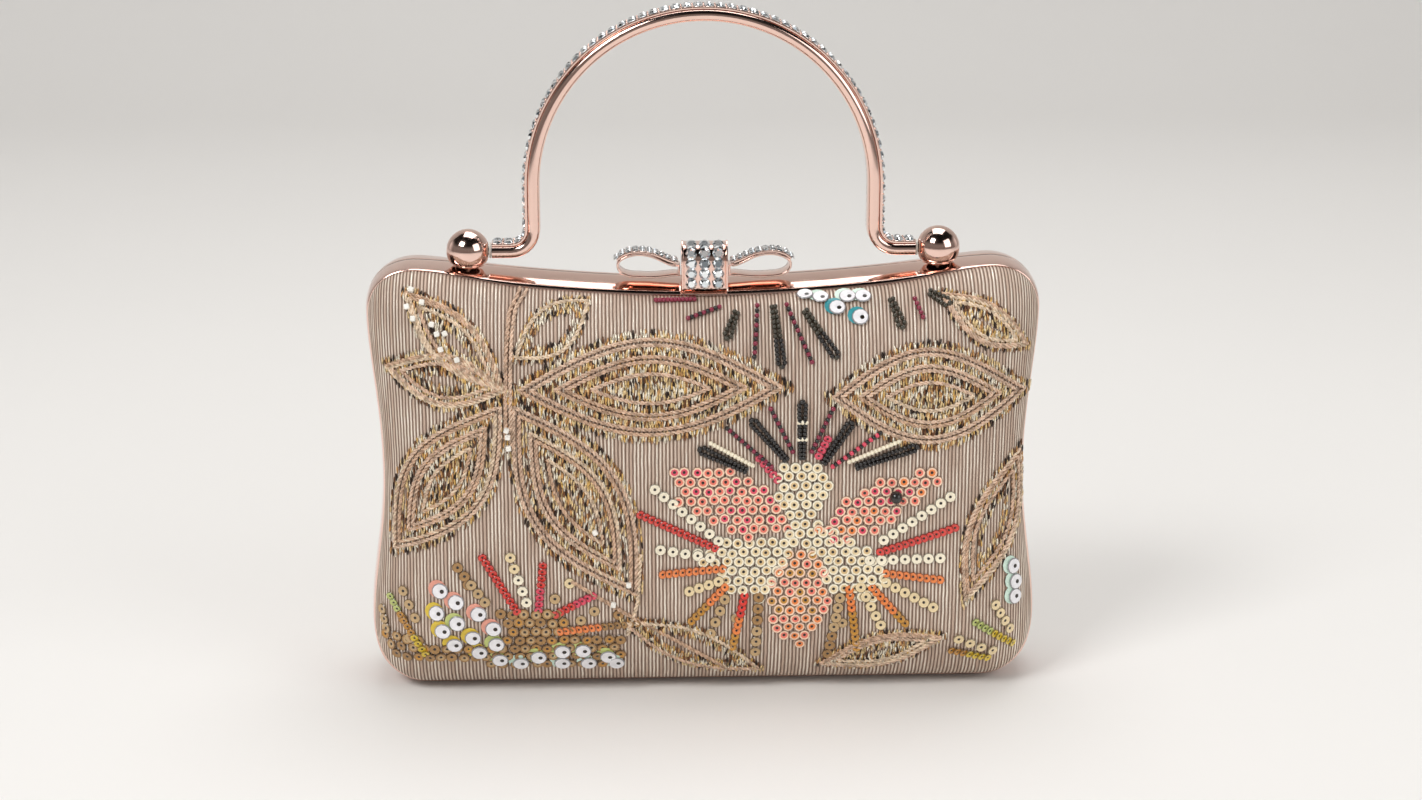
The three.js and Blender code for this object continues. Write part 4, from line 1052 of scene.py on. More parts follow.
def knob_mesh(hand):
    """A ball on a tapered collar, turned in one, with a flat inner face."""
    bm = bmesh.new()
    foot = KNOB_FOOT - PIVOT_HEIGHT
    profile = [(0, foot), (COLLAR_FOOT - COLLAR_EDGE, foot), (COLLAR_FOOT, foot + COLLAR_EDGE)]
    neck = math.asin(COLLAR_TOP / KNOB_RADIUS)
    start = math.pi - neck
    seam = KNOB_RADIUS * math.cos(start)
    profile += [(COLLAR_TOP - inward, seam - down) for inward, down in NECK_GROOVE]
    for k in range(1, BALL_STEPS + 1):
        angle = start * (1 - k / BALL_STEPS)
        profile.append((KNOB_RADIUS * math.sin(angle), KNOB_RADIUS * math.cos(angle)))
    verts = [bm.verts.new((r, 0, z)) for r, z in profile]
    edges = [bm.edges.new(pair) for pair in zip(verts, verts[1:])]
    bmesh.ops.spin(
        bm, geom=verts + edges, cent=(0, 0, 0), axis=(0, 0, 1), angle=2 * math.pi, steps=48, use_merge=True
    )
    bmesh.ops.remove_doubles(bm, verts=bm.verts, dist=0.001)
    bmesh.ops.recalc_face_normals(bm, faces=bm.faces)
    face = hand * (KNOB_FACE - KNOB_OFFSET)
    bmesh.ops.bisect_plane(
        bm, geom=bm.verts[:] + bm.edges[:] + bm.faces[:], plane_co=(face, 0, 0), plane_no=(-hand, 0, 0),
        clear_outer=True,
    )
    bmesh.ops.holes_fill(bm, edges=[e for e in bm.edges if e.is_boundary], sides=0)
    bmesh.ops.translate(bm, vec=(hand * KNOB_OFFSET, HANDLE_Y, PIVOT_HEIGHT), verts=bm.verts)
    bmesh.ops.recalc_face_normals(bm, faces=bm.faces)
    return bm


def build_knobs(context):
    """Both knobs, bored for the handle's pins."""
    metal = rose_gold(context.scene.bag_metal)
    bore = (KNOB_FACE - 1, KNOB_FACE + PIN_BORE_DEPTH)
    for place, hand in HANDS:
        mesh = mesh_from(knob_mesh(hand), f"{place}_knob_ball")
        piece = add_piece(f"{place}_knob_ball", mesh, metal, "front_half", [f"{place}_knob"])
        cut_out(piece, [bar_mesh(PIN_BORE_RADIUS, hand * bore[0], hand * bore[1], HANDLE_Y, PIVOT_HEIGHT)])
        shade_past(piece.data, 30)
    nylon = moulded_plastic("nylon_washer", "#CFCAC0", "#DDD9D0", 0.5)
    dress_nodes(nylon, "left_pivot_washer", "right_pivot_washer")
    dress_nodes(satin_steel(), "left_knob_screw", "right_knob_screw")


def prism_along_x(profile, half, bevel):
    """A solid with a (y, z) profile, centred on X, with its edges rounded."""
    bm = bmesh.new()
    face = bm.faces.new([bm.verts.new((-half, y, z)) for y, z in profile])
    moved = bmesh.ops.extrude_face_region(bm, geom=[face])["geom"]
    verts = [v for v in moved if isinstance(v, bmesh.types.BMVert)]
    bmesh.ops.translate(bm, vec=(2 * half, 0, 0), verts=verts)
    bmesh.ops.recalc_face_normals(bm, faces=bm.faces)
    if bevel:
        sharp = [e for e in bm.edges if e.calc_face_angle(0) > math.radians(40)]
        bmesh.ops.bevel(bm, geom=sharp, offset=bevel, segments=3, profile=0.5, affect="EDGES", material=-1)
    return bm


def joined(bms):
    """Several bmeshes as one."""
    whole = bmesh.new()
    for bm in bms:
        mesh = bpy.data.meshes.new("part")
        bm.to_mesh(mesh)
        bm.free()
        whole.from_mesh(mesh)
        bpy.data.meshes.remove(mesh)
    return whole


def arc(centre, radius, start, end, parts=6):
    """Points on an arc, in degrees."""
    angles = [math.radians(start + (end - start) * k / parts) for k in range(parts + 1)]
    return [(centre[0] + radius * math.cos(a), centre[1] + radius * math.sin(a)) for a in angles]


def knot_profile():
    """The knot's side view: a block over the frame with a thin skirt in front of it."""
    lower = DIP.y + KNOT_CLEARANCE
    inner = KNOT_FRONT + KNOT_WALL
    back = (KNOT_BACK - KNOT_BACK_ROUND, KNOT_TOP - KNOT_BACK_ROUND)
    crest = (KNOT_FRONT + KNOT_CREST, KNOT_TOP - KNOT_CREST)
    return [
        (KNOT_FRONT, KNOT_FOOT), (inner, KNOT_FOOT), (inner, lower), (KNOT_BACK, lower),
        *arc(back, KNOT_BACK_ROUND, 0, 90), *arc(crest, KNOT_CREST, 90, 180, 8),
    ]


def over_knot(lift):
    """The knot's front and rounded top from the side, raised by an amount."""
    crest = (KNOT_FRONT + KNOT_CREST, KNOT_TOP - KNOT_CREST)
    foot = (KNOT_FRONT - lift, KNOT_FOOT + SETTING_START)
    return [foot] + arc(crest, KNOT_CREST + lift, 180, CREST_END, 10)


def clasp_arms():
    """The stem down through the frame and the arm that carries the magnet."""
    half = STEM_DEPTH / 2
    foot = CLASP_AXIS_HEIGHT - STEM_BOSS
    stem = box_mesh((-STEM_HALF, HANDLE_Y - half, foot), (STEM_HALF, HANDLE_Y + half, DIP.y + STEM_RISE))
    arm = box_mesh((-STEM_HALF, HANDLE_Y, foot), (STEM_HALF, CLASP_REACH, CLASP_AXIS_HEIGHT + ARM_RISE))
    return [stem, arm]


def knot_setting():
    """A bed under each column of the knot's stones, and a plate at each end of the knot."""
    bed = (BED_RISE, KNOT_STONE / 2 - BED_SPARE, 0)
    plate = (PLATE_RISE, PLATE_HALF, PLATE_EDGE)
    bars = [(k * KNOT_COLUMN, *bed) for k in (-1, 0, 1)]
    bars += [(hand * (KNOT_HALF - PLATE_INSET), *plate) for hand in (-1, 1)]
    parts = []
    for x, rise, half, bevel in bars:
        bar = prism_along_x(over_knot(-SETTING_SINK) + over_knot(rise)[::-1], half, bevel)
        bmesh.ops.translate(bar, vec=(x, 0, 0), verts=bar.verts)
        parts.append(bar)
    return joined(parts)


def add_knot(metal, crystal):
    """The knot with its stem and arm, its setting and its stones."""
    knot = joined([prism_along_x(knot_profile(), KNOT_HALF, KNOT_EDGE), *clasp_arms()])
    mesh = mesh_from(knot, "bow_knot_block", 35)
    add_piece("bow_knot_block", mesh, metal, "clasp", ["bow_knot"])
    mesh = mesh_from(knot_setting(), "knot_stone_setting", 35)
    add_piece("knot_stone_setting", mesh, metal, "clasp", ["knot_stones"])
    line = [Vector((0, y, z)) for y, z in over_knot(BED_RISE)]
    spots = []
    for place, along in even_points(line, KNOT_STONE_STEP)[:-1]:
        outward = Vector((0, -along.z, along.y))
        spots.append((place + along * (KNOT_STONE_STEP / 2), outward, along))
    mesh = set_stones("knot_crystals", spots, KNOT_STONE, (-KNOT_COLUMN, 0, KNOT_COLUMN))
    add_piece("knot_crystals", mesh, crystal, "clasp", ["knot_stones"])


def loop_outline(hand, grow):
    """A bow loop seen from the front: narrow at the knot, full and round at its end."""
    def at(v, z):
        return Vector((hand * (LOOP_START + v), z))

    low, high = LOOP_BOTTOM - grow, LOOP_BOTTOM + LOOP_HEIGHT + grow
    start, end = -grow, LOOP_LENGTH + grow
    neck, swell, turn = start + LOOP_NECK, start + LOOP_TURN, end - LOOP_TURN
    neck_low = LOOP_BOTTOM + LOOP_NARROW[0] - grow
    neck_high = LOOP_BOTTOM + LOOP_NARROW[1] + grow
    middle = (low + high) / 2 + LOOP_TILT
    lifted = low + LOOP_TILT
    knots = [
        (at(start, neck_low), at(neck, neck_low), at(swell, low), at(turn, lifted)),
        (at(turn, lifted), at(end - 1, lifted), at(end, lifted + 2), at(end, middle)),
        (at(end, middle), at(end, high - 1.5), at(end - 3, high), at(turn, high)),
        (at(turn, high), at(swell, high), at(neck, neck_high), at(start, neck_high)),
    ]
    return [Vector(p[:2]) for p in bezier_path(knots, 12)]


def loop_mesh(hand):
    """The loop as a strip bent round, open in the middle."""
    section = rounded_rectangle(LOOP_WALL / 2, (LOOP_BACK - LOOP_FRONT) / 2, LOOP_EDGE, 3)
    line = [Vector((p.x, LOOP_MIDDLE, p.y)) for p in loop_outline(hand, -LOOP_WALL / 2)]
    rings = []
    for point, ahead, behind in zip(line, line[1:] + line[:1], line[-1:] + line[:-1]):
        outward = outward_of(ahead - behind)
        rings.append([point + outward * out + Vector((0, back, 0)) for out, back in section])
    bm = loft(rings, True)
    bmesh.ops.recalc_face_normals(bm, faces=bm.faces)
    return bm


def loop_stone_line(hand):
    """Where a loop's stones run: over its top and partly down its end."""
    far = LOOP_START + LOOP_LENGTH - LOOP_STONES_END
    line = []
    for p in loop_outline(hand, LOOP_STRIP - LOOP_STRIP_SEAT):
        over_neck = p.y > LOOP_BOTTOM + LOOP_NARROW[1] and abs(p.x) > KNOT_HALF + LOOP_STONES_CLEAR
        if over_neck and (abs(p.x) < far or p.y > LOOP_BOTTOM + LOOP_STONES_LOW * LOOP_HEIGHT):
            line.append(Vector((p.x, LOOP_MIDDLE, p.y)))
    return line


def add_loop(place, hand, metal, crystal):
    """One loop of the bow with its setting and its stones."""
    mesh = mesh_from(loop_mesh(hand), f"{place}_loop_strip", 40)
    add_piece(f"{place}_loop_strip", mesh, metal, "clasp", [f"{place}_bow_loop"])
    marks = even_points(loop_stone_line(hand), LOOP_STONE_STEP)
    section = rounded_rectangle(LOOP_STRIP, LOOP_STRIP_HALF, LOOP_STRIP_ROUND, 2)
    mesh = mesh_from(swept(marks, section), f"{place}_loop_setting", 40)
    add_piece(f"{place}_loop_setting", mesh, metal, "clasp", [f"{place}_loop_stones"])
    centre = Vector((hand * LOOP_CENTRE, LOOP_MIDDLE, LOOP_BOTTOM))
    stones = []
    for spot, along in marks:
        out = outward_of(along)
        out = out if out.dot(spot - centre) > 0 else -out
        stones.append((spot + out * LOOP_STRIP, out, along))
    mesh = set_stones(f"{place}_loop_crystals", stones, LOOP_STONE, LOOP_STONE_ROWS)
    add_piece(f"{place}_loop_crystals", mesh, crystal, "clasp", [f"{place}_loop_stones"])


def build_bow(context):
    """The bow: its knot and both loops."""
    metal = rose_gold(context.scene.bag_metal)
    crystal = cut_crystal()
    add_knot(metal, crystal)
    for place, hand in HANDS:
        add_loop(place, hand, metal, crystal)


def build_works(context):
    """Hinges and clasp works, which stay as the frame has them."""
    steel = satin_steel()
    hinges = [f"{hand}_hinge_{part}" for hand, _ in HANDS for part in ("front_leaf", "back_leaf", "pin")]
    dress_nodes(steel, *hinges, "clasp_bracket", "clasp_pin", "clasp_spring", "keeper_plate")
    dress_nodes(satin_steel("nickel_magnet", "#8F9093"), "clasp_magnet")


class CoverSkin:
    """Finds places on the outside of one cover."""

    def __init__(self, side):
        self.side = side
        bm = pillow_surface(side)
        self.tree = BVHTree.FromBMesh(bm)
        bm.free()

    def at(self, x, z, lift=0.0):
        """Place and outward normal over a front-view point, or None past the rim."""
        start = Vector((x, self.side * CLEAR_OF_COVERS, z))
        place, normal, _, _ = self.tree.ray_cast(start, Vector((0, -self.side, 0)))
        if place is None:
            return None
        if normal.y * self.side < 0:
            normal = -normal
        return place + normal * lift, normal


# Leaves: foot, tip and fullness in the front view, with how many rings of cord each has
LEAF_HUB = (-57, 94)
LEAF_GROUPS = {
    "left_leaves": [
        (LEAF_HUB, (-85, 121), 0.17, 2),
        ((-54, 103), (-33, 117), 0.24, 1),
        (LEAF_HUB, (-91, 100), 0.22, 2),
        ((-54, 94), (22.4, 94.2), 0.18, 3),
        ((-58, 90), (-90, 45), 0.22, 3),
        ((-55, 90), (-20, 32), 0.21, 3),
        ((-24, 24), (16, 7), 0.13, 1),
    ],
    "right_leaf": [((35.2, 91.2), (92, 91), 0.245, 3)],
    "top_right_leaf": [((67, 119), (92, 104), 0.18, 2)],
    "low_right_leaf": [((75, 29), (91, 73), 0.16, 2)],
    "bottom_leaf": [((33, 9), (69, 18), 0.14, 2)],
}
STEMS = {
    "left_leaves": [
        [(-49.5, 121), (-53.8, 116), (-54.9, 109), (-55.5, 95), (-55.5, 78)],
        [(-52, 121), (-55.6, 115), (-56.6, 104), (-57, 80)],
        [(-38.9, 37), (-22, 26), (-9, 18), (6, 8)],
        [(-19, 45), (-20, 30), (-23, 20)],
    ],
}
SQUARE_BEADS = [
    (-83, 121), (-84, 117), (-80, 118), (-82.3, 114), (-77.2, 112.4), (-75.8, 109.9), (-73.6, 110),
    (-74.7, 105.9), (-70.2, 103), (-56.7, 82.7), (-56.4, 80.7), (-56.2, 77.4), (-32, 52), (-22.5, 36),
    (-27, 30),
]

# Bands of a leaf from its edge in, as shares of its width: lines of cord and lines of stitches
CORD_SIZES = (0.97, 0.86, 0.64, 0.54, 0.3)
STITCH_SIZES = (1.08, 0.75, 0.43, 0.15)
LEAF_SHORTENING = 0.8

# How cords and stitches are laid: their lift off the cover, their rows, and how far they stray
CORD_STEPS = 5
CORD_LIFT = 1.5
CORD_FLATNESS = 0.8
STITCH_GAP = (0.72, 2.0)
STITCH_WIDTH = 0.6
STITCH_ROWS = (0, 1)
WIDE_LEAF = 8
WIDE_LEAF_ROWS = (-0.7, 0.3, 1.3)
STITCH_ROW_STEP = 0.9
STITCH_DRIFT = (0.15, 0.5)
STITCH_LIFT = (0.25, 0.3)
STITCHES_LOST = 0.06
STITCH_LEAN = 0.22

# Colours of cords and stitches, and how often each stitch colour comes in light and dark rows: the golds
# are the yarn's own, the near-white stitches stand in for painted highlights on the metallic yarn, and the
# near-black ones for painted shade in the gaps
STITCH_TINTS = [linear(c) for c in ("#F2D6A0", "#FFF6E2", "#D2A068", "#7E5436", "#33221A", "#E4BA6C")]
LIGHT_SHARES = (32, 38, 12, 7, 5, 6)
DARK_SHARES = (22, 20, 16, 18, 19, 5)
CORD_TINTS = [linear(c) for c in ("#EACBB2", "#DDB99C", "#F2DABE", "#E2C0A6")]

# Square beads: width, bevelled edge, lift of the middle and colour
SQUARE_BEAD = 1.5
SQUARE_BEAD_EDGE = 0.2
SQUARE_BEAD_LIFT = 1.3
SQUARE_BEAD_TINT = linear("#FBF7EE")


def leaf_line(foot, tip, fullness, size, hand, parts=24):
    """One side of a leaf: size 1 is its edge and 0 its middle line."""
    foot, tip = Vector(foot), Vector(tip)
    along = tip - foot
    across = Vector((-along.y, along.x))
    inset = 0.5 * (1 - size) * LEAF_SHORTENING
    shares = np.linspace(inset, 1 - inset, parts + 1)
    swell = np.sin(math.pi * (shares - inset) / (1 - 2 * inset))
    return [foot + along * s + across * (hand * fullness * size * w) for s, w in zip(shares, swell)]


def cord_mesh(name, skin, lines, settings):
    """Two strands twisted round each line, couched on the cover."""
    radius = settings.strand / MM / 2
    pitch = settings.cord_pitch / MM
    curve = bpy.data.curves.new(name, "CURVE")
    curve.dimensions = "3D"
    curve.bevel_depth = radius * MM
    curve.bevel_resolution = 1
    curve.use_fill_caps = True
    tints = []
    for line in lines:
        tint = random.choice(CORD_TINTS)
        spots = []
        for k, (point, along) in enumerate(even_points(line, pitch / CORD_STEPS)):
            found = skin.at(point.x, point.y, radius * CORD_LIFT)
            if found is None:
                continue
            place, normal = found
            side = normal.cross(Vector((along.x, 0, along.y))).normalized()
            spots.append((k, place, normal, side))
        if len(spots) < 3:
            continue
        for strand in (0, math.pi):
            spline = curve.splines.new("POLY")
            spline.points.add(len(spots) - 1)
            for item, (k, place, normal, side) in zip(spline.points, spots):
                angle = 2 * math.pi * k / CORD_STEPS + strand
                across = side * (radius * math.cos(angle))
                upwards = normal * (radius * CORD_FLATNESS * math.sin(angle))
                item.co = (*((place + across + upwards) * MM), 1)
            tints.append((len(spots), tint))
    holder = bpy.data.objects.new(name, curve)
    bpy.context.scene.collection.objects.link(holder)
    bpy.context.view_layer.update()
    mesh = bpy.data.meshes.new_from_object(holder.evaluated_get(bpy.context.evaluated_depsgraph_get()))
    bpy.data.objects.remove(holder)
    mesh.materials.clear()
    mesh.shade_smooth()
    layer = mesh.color_attributes.new("tint", "FLOAT_COLOR", "CORNER")
    loops_per_step = len(mesh.loops) / sum(count for count, _ in tints)
    shades = np.concatenate([
        np.tile(tint, (round(count * loops_per_step), 1)) for count, tint in tints
    ])
    filled = np.resize(shades, (len(mesh.loops), 4)).astype(np.float32)
    layer.data.foreach_set("color", filled.ravel())
    return mesh


def stitch_template(settings):
    """One stitch: a short raised stroke of metallic yarn."""
    bm = bmesh.new()
    bmesh.ops.create_uvsphere(bm, u_segments=6, v_segments=4, radius=0.5)
    length = settings.stitch_length / MM
    bmesh.ops.rotate(bm, matrix=Matrix.Rotation(math.pi / 2, 3, "Y"), verts=bm.verts)
    bmesh.ops.scale(bm, vec=(length, STITCH_WIDTH, STITCH_WIDTH), verts=bm.verts)
    return template_mesh(bm)


def stitch_spots(line):
    """Spots on a line for upright stitches: close side by side, further apart one above the other."""
    across, upright = STITCH_GAP
    reach = [0]
    for a, b in zip(line, line[1:]):
        reach.append(reach[-1] + math.hypot((b.x - a.x) / across, (b.y - a.y) / upright))
    marks = np.arange(0.5, reach[-1], 1)
    return zip(np.interp(marks, reach, [p.x for p in line]), np.interp(marks, reach, [p.y for p in line]))


def stitch_copies(skin, leaf, template):
    """Upright stitches in bands that follow a leaf's edge."""
    foot, tip, fullness, rings = leaf
    width = fullness * (Vector(tip) - Vector(foot)).length
    drift_x, drift_z = STITCH_DRIFT
    lift, spread = STITCH_LIFT
    copies = []
    for band, size in enumerate(STITCH_SIZES[:rings + 1]):
        shifts = STITCH_ROWS if band == 0 or width < WIDE_LEAF else WIDE_LEAF_ROWS
        for hand in (1, -1):
            for row, shift in enumerate(shifts):
                line = leaf_line(foot, tip, fullness, size - shift * STITCH_ROW_STEP / width, hand)
                # Light and dark rows by turns, whose near-white and near-black stitches add painted
                # highlights and painted shade
                shares = DARK_SHARES if (band + row) % 2 == 0 else LIGHT_SHARES
                for x, z in stitch_spots(line):
                    spot = (x + random.uniform(-drift_x, drift_x), z + random.uniform(-drift_z, drift_z))
                    found = skin.at(*spot, lift + spread * random.random())
                    if found is None or random.random() < STITCHES_LOST:
                        continue
                    along = Vector((random.uniform(-STITCH_LEAN, STITCH_LEAN), 0, 1))
                    tint = random.choices(STITCH_TINTS, shares)[0]
                    copies.append((template, basis(*found, along), [tint]))
    return copies


def leaf_cords(leaf):
    """Lines of cord round a leaf, from its edge in."""
    foot, tip, fullness, rings = leaf
    sizes = CORD_SIZES[:2 * rings - 1]
    return [leaf_line(foot, tip, fullness, size, hand) for size in sizes for hand in (1, -1)]


def square_bead_copies(skin):
    """Small cut cubes on the upper left leaf, the stems and the lower leaf."""
    cube = bmesh.new()
    bmesh.ops.create_cube(cube, size=SQUARE_BEAD)
    bmesh.ops.bevel(
        cube, geom=cube.edges[:], offset=SQUARE_BEAD_EDGE, segments=1, profile=0.5, affect="EDGES",
        material=-1,
    )
    template = template_mesh(cube)
    copies = []
    for x, z in SQUARE_BEADS:
        found = skin.at(x, z, SQUARE_BEAD_LIFT)
        if found:
            along = Vector((1, 0, random.uniform(-0.5, 0.5)))
            copies.append((template, basis(*found, along), [SQUARE_BEAD_TINT]))
    return copies


def build_leaves(context):
    """Cords and stitches of each group of leaves, and the square beads, on both covers."""
    settings = context.scene.bag_embroidery
    cord = metallic_yarn("twisted_gold_cord", 0.15, 0.5, 1.4286)
    yarn = metallic_yarn("gold_stitches", 0.25, 0.35, 1.111)
    film = sequin_film()
    stitch = stitch_template(settings)
    for half, side in HALVES:
        skin = CoverSkin(side)
        body = f"{half}_half"
        for name, leaves in LEAF_GROUPS.items():
            replaces = [name] if half == "front" else []
            lines = [line for leaf in leaves for line in leaf_cords(leaf)]
            lines += [[Vector(p) for p in stem] for stem in STEMS.get(name, [])]
            mesh = cord_mesh(f"{half}_{name}_cords", skin, lines, settings)
            add_piece(f"{half}_{name}_cords", mesh, cord, body, replaces)
            copies = [copy for leaf in leaves for copy in stitch_copies(skin, leaf, stitch)]
            mesh = scatter(f"{half}_{name}_stitches", copies)
            mesh.shade_smooth()
            add_piece(f"{half}_{name}_stitches", mesh, yarn, body, replaces)
        mesh = scatter(f"{half}_square_beads", square_bead_copies(skin))
        add_piece(f"{half}_square_beads", mesh, film, body)


# Colours of sequins and beads, and of the knot in a sequin's hole, painted dark as the shade in the hole
TINTS = {name: linear(code) for name, code in {
    "cream": "#F2DAAC", "cream_light": "#FFF4DA", "sand": "#E6C590", "peach": "#FDD6B8", "coral": "#F5806C",
    "pink": "#EA5068", "orange": "#F68C4A", "red": "#E4443A", "yellow": "#E6C63C", "lime": "#C6CF7C",
    "brown": "#A97F4B", "tan": "#C6A577", "black": "#231F1E", "magenta": "#8E2742", "olive": "#3E392C",
    "pearl": "#F6F4F7", "teal": "#3C9DA6", "mint": "#D9F2E2", "salmon": "#F0A48F", "hole": "#241B14",
    "gold": "#C98F3A",
}.items()}


def lathed(profile, segments):
    """A closed ring or dome from a profile of (radius, height), turned round Z."""
    bm = bmesh.new()
    verts = [bm.verts.new((r, 0, z)) for r, z in profile]
    edges = [bm.edges.new(pair) for pair in zip(verts, verts[1:])]
    if profile[0][0] > 0:
        edges.append(bm.edges.new((verts[-1], verts[0])))
    bmesh.ops.spin(
        bm, geom=verts + edges, cent=(0, 0, 0), axis=(0, 0, 1), angle=2 * math.pi, steps=segments,
        use_merge=True,
    )
    bmesh.ops.remove_doubles(bm, verts=bm.verts, dist=1e-4)
    bmesh.ops.recalc_face_normals(bm, faces=bm.faces)
    return bm


def sequin_template(diameter, segments=9, hole_shift=0.0):
    """A cupped ring sequin with the knot that holds it: zone 0 rim, 1 body, 2 knot, which carries the
    painted shade of the hole, 3 outer slope.
    """
    half = diameter / 2
    profile = [(half, 0), (half * 0.87, 0.26), (half * 0.6, 0.26), (half * 0.27, 0.1), (half * 0.27, 0)]
    ring = lathed(profile, segments)
    for face in ring.faces:
        middle = face.calc_center_median()
        out = math.hypot(middle.x, middle.y) / half
        face.material_index = 3 if out > SLOPE_START else 0 if out > RIM_START else 1
    knot = lathed([(0, 0.16), (half * 0.26, 0.05), (half * 0.26, 0), (0, 0)], 6)
    for face in knot.faces:
        face.material_index = 2
    whole = joined([ring, knot])
    if hole_shift:
        inner = [v for v in whole.verts if math.hypot(v.co.x, v.co.y) < half * 0.35]
        bmesh.ops.translate(whole, vec=(hole_shift, -hole_shift * 0.4, 0), verts=inner)
    return template_mesh(whole)


def disc_template(diameter):
    """A flat sequin that shows as a rim under a pearly one."""
    half = diameter / 2
    return template_mesh(lathed([(0, 0.12), (half * 0.8, 0.1), (half, 0), (0, 0)], 12))


def inside_polygon(x, z, corners):
    """Whether a point of the front view lies inside an outline."""
    inside = False
    for (ax, az), (bx, bz) in zip(corners, corners[1:] + corners[:1]):
        if (az > z) != (bz > z) and x < ax + (bx - ax) * (z - az) / (bz - az):
            inside = not inside
    return inside


# Where the rim and the outer slope of a ring sequin start, as shares of its radius
RIM_START = 0.64
SLOPE_START = 0.8
SLOPE_SHADE = 0.34

# How far a sequin or a bead stands off the cover, and how sequins of a field are laid
SEQUIN_LIFT = 0.3
SEQUIN_RAISE = 0.25
BEAD_LIFT = 0.75
FIELD_PITCH = 3.25
FIELD_ROW_SHARE = 0.87
FIELD_START = 0.6
FIELD_DRIFT = 0.3
FIELD_LIFT = (0.2, 0.25)
FIELD_LEAN = 0.12

# Rows: distance between neighbours, lean of a sequin on the next one, and half the width of a loop
ROW_PITCH = {"ring": 3.35, "small": 1.9, "loop": 1.2, "chain": 1.15}
ROW_LEAN = {"ring": 0.1, "small": 0.35}
BEAD_LOOP_HALF = 0.95

# Fields of ring sequins, front view: outline, rim colour, body colours
FIELDS = {
    "large_flower": [
        ([(-11, 70), (-4.7, 72), (13.1, 68.5), (21.7, 58.5), (25, 51), (12.5, 49), (1.9, 54), (-8, 60.5)],
         "peach", "coral coral pink"),
        ([(30.4, 49.5), (39, 61), (49, 67.4), (66, 70), (67.2, 66), (55.8, 56.5), (45.7, 49.4),
          (37.7, 48.2)],
         "peach", "coral coral orange pink"),
        ([(24, 47), (31.5, 44.5), (36.5, 33), (35.7, 26), (28, 15.5), (21, 18), (17.4, 28), (18.5, 36),
          (21.8, 43)],
         "peach", "orange coral gold orange"),
        ([(19, 73), (34.4, 72), (36, 64), (32, 55), (42, 48), (50, 44.5), (54, 36), (48, 30.5), (42, 30.4),
          (35.2, 32), (31.5, 44.5), (24, 47), (21, 36), (15.2, 30.8), (6.5, 32.5), (3.5, 38.5), (-2, 43),
          (-4, 46), (7, 49), (12.5, 49), (25, 51), (21.5, 59), (19, 64)],
         "cream_light", "cream cream sand"),
    ],
    "low_flower": [
        ([(-60, 28.5), (-44, 28), (-38, 22), (-24.5, 18.5), (-24, 9.5), (-62, 10), (-91, 13), (-95, 20),
          (-79, 18), (-63, 16), (-58, 22)],
         "brown", "brown tan gold"),
    ],
}

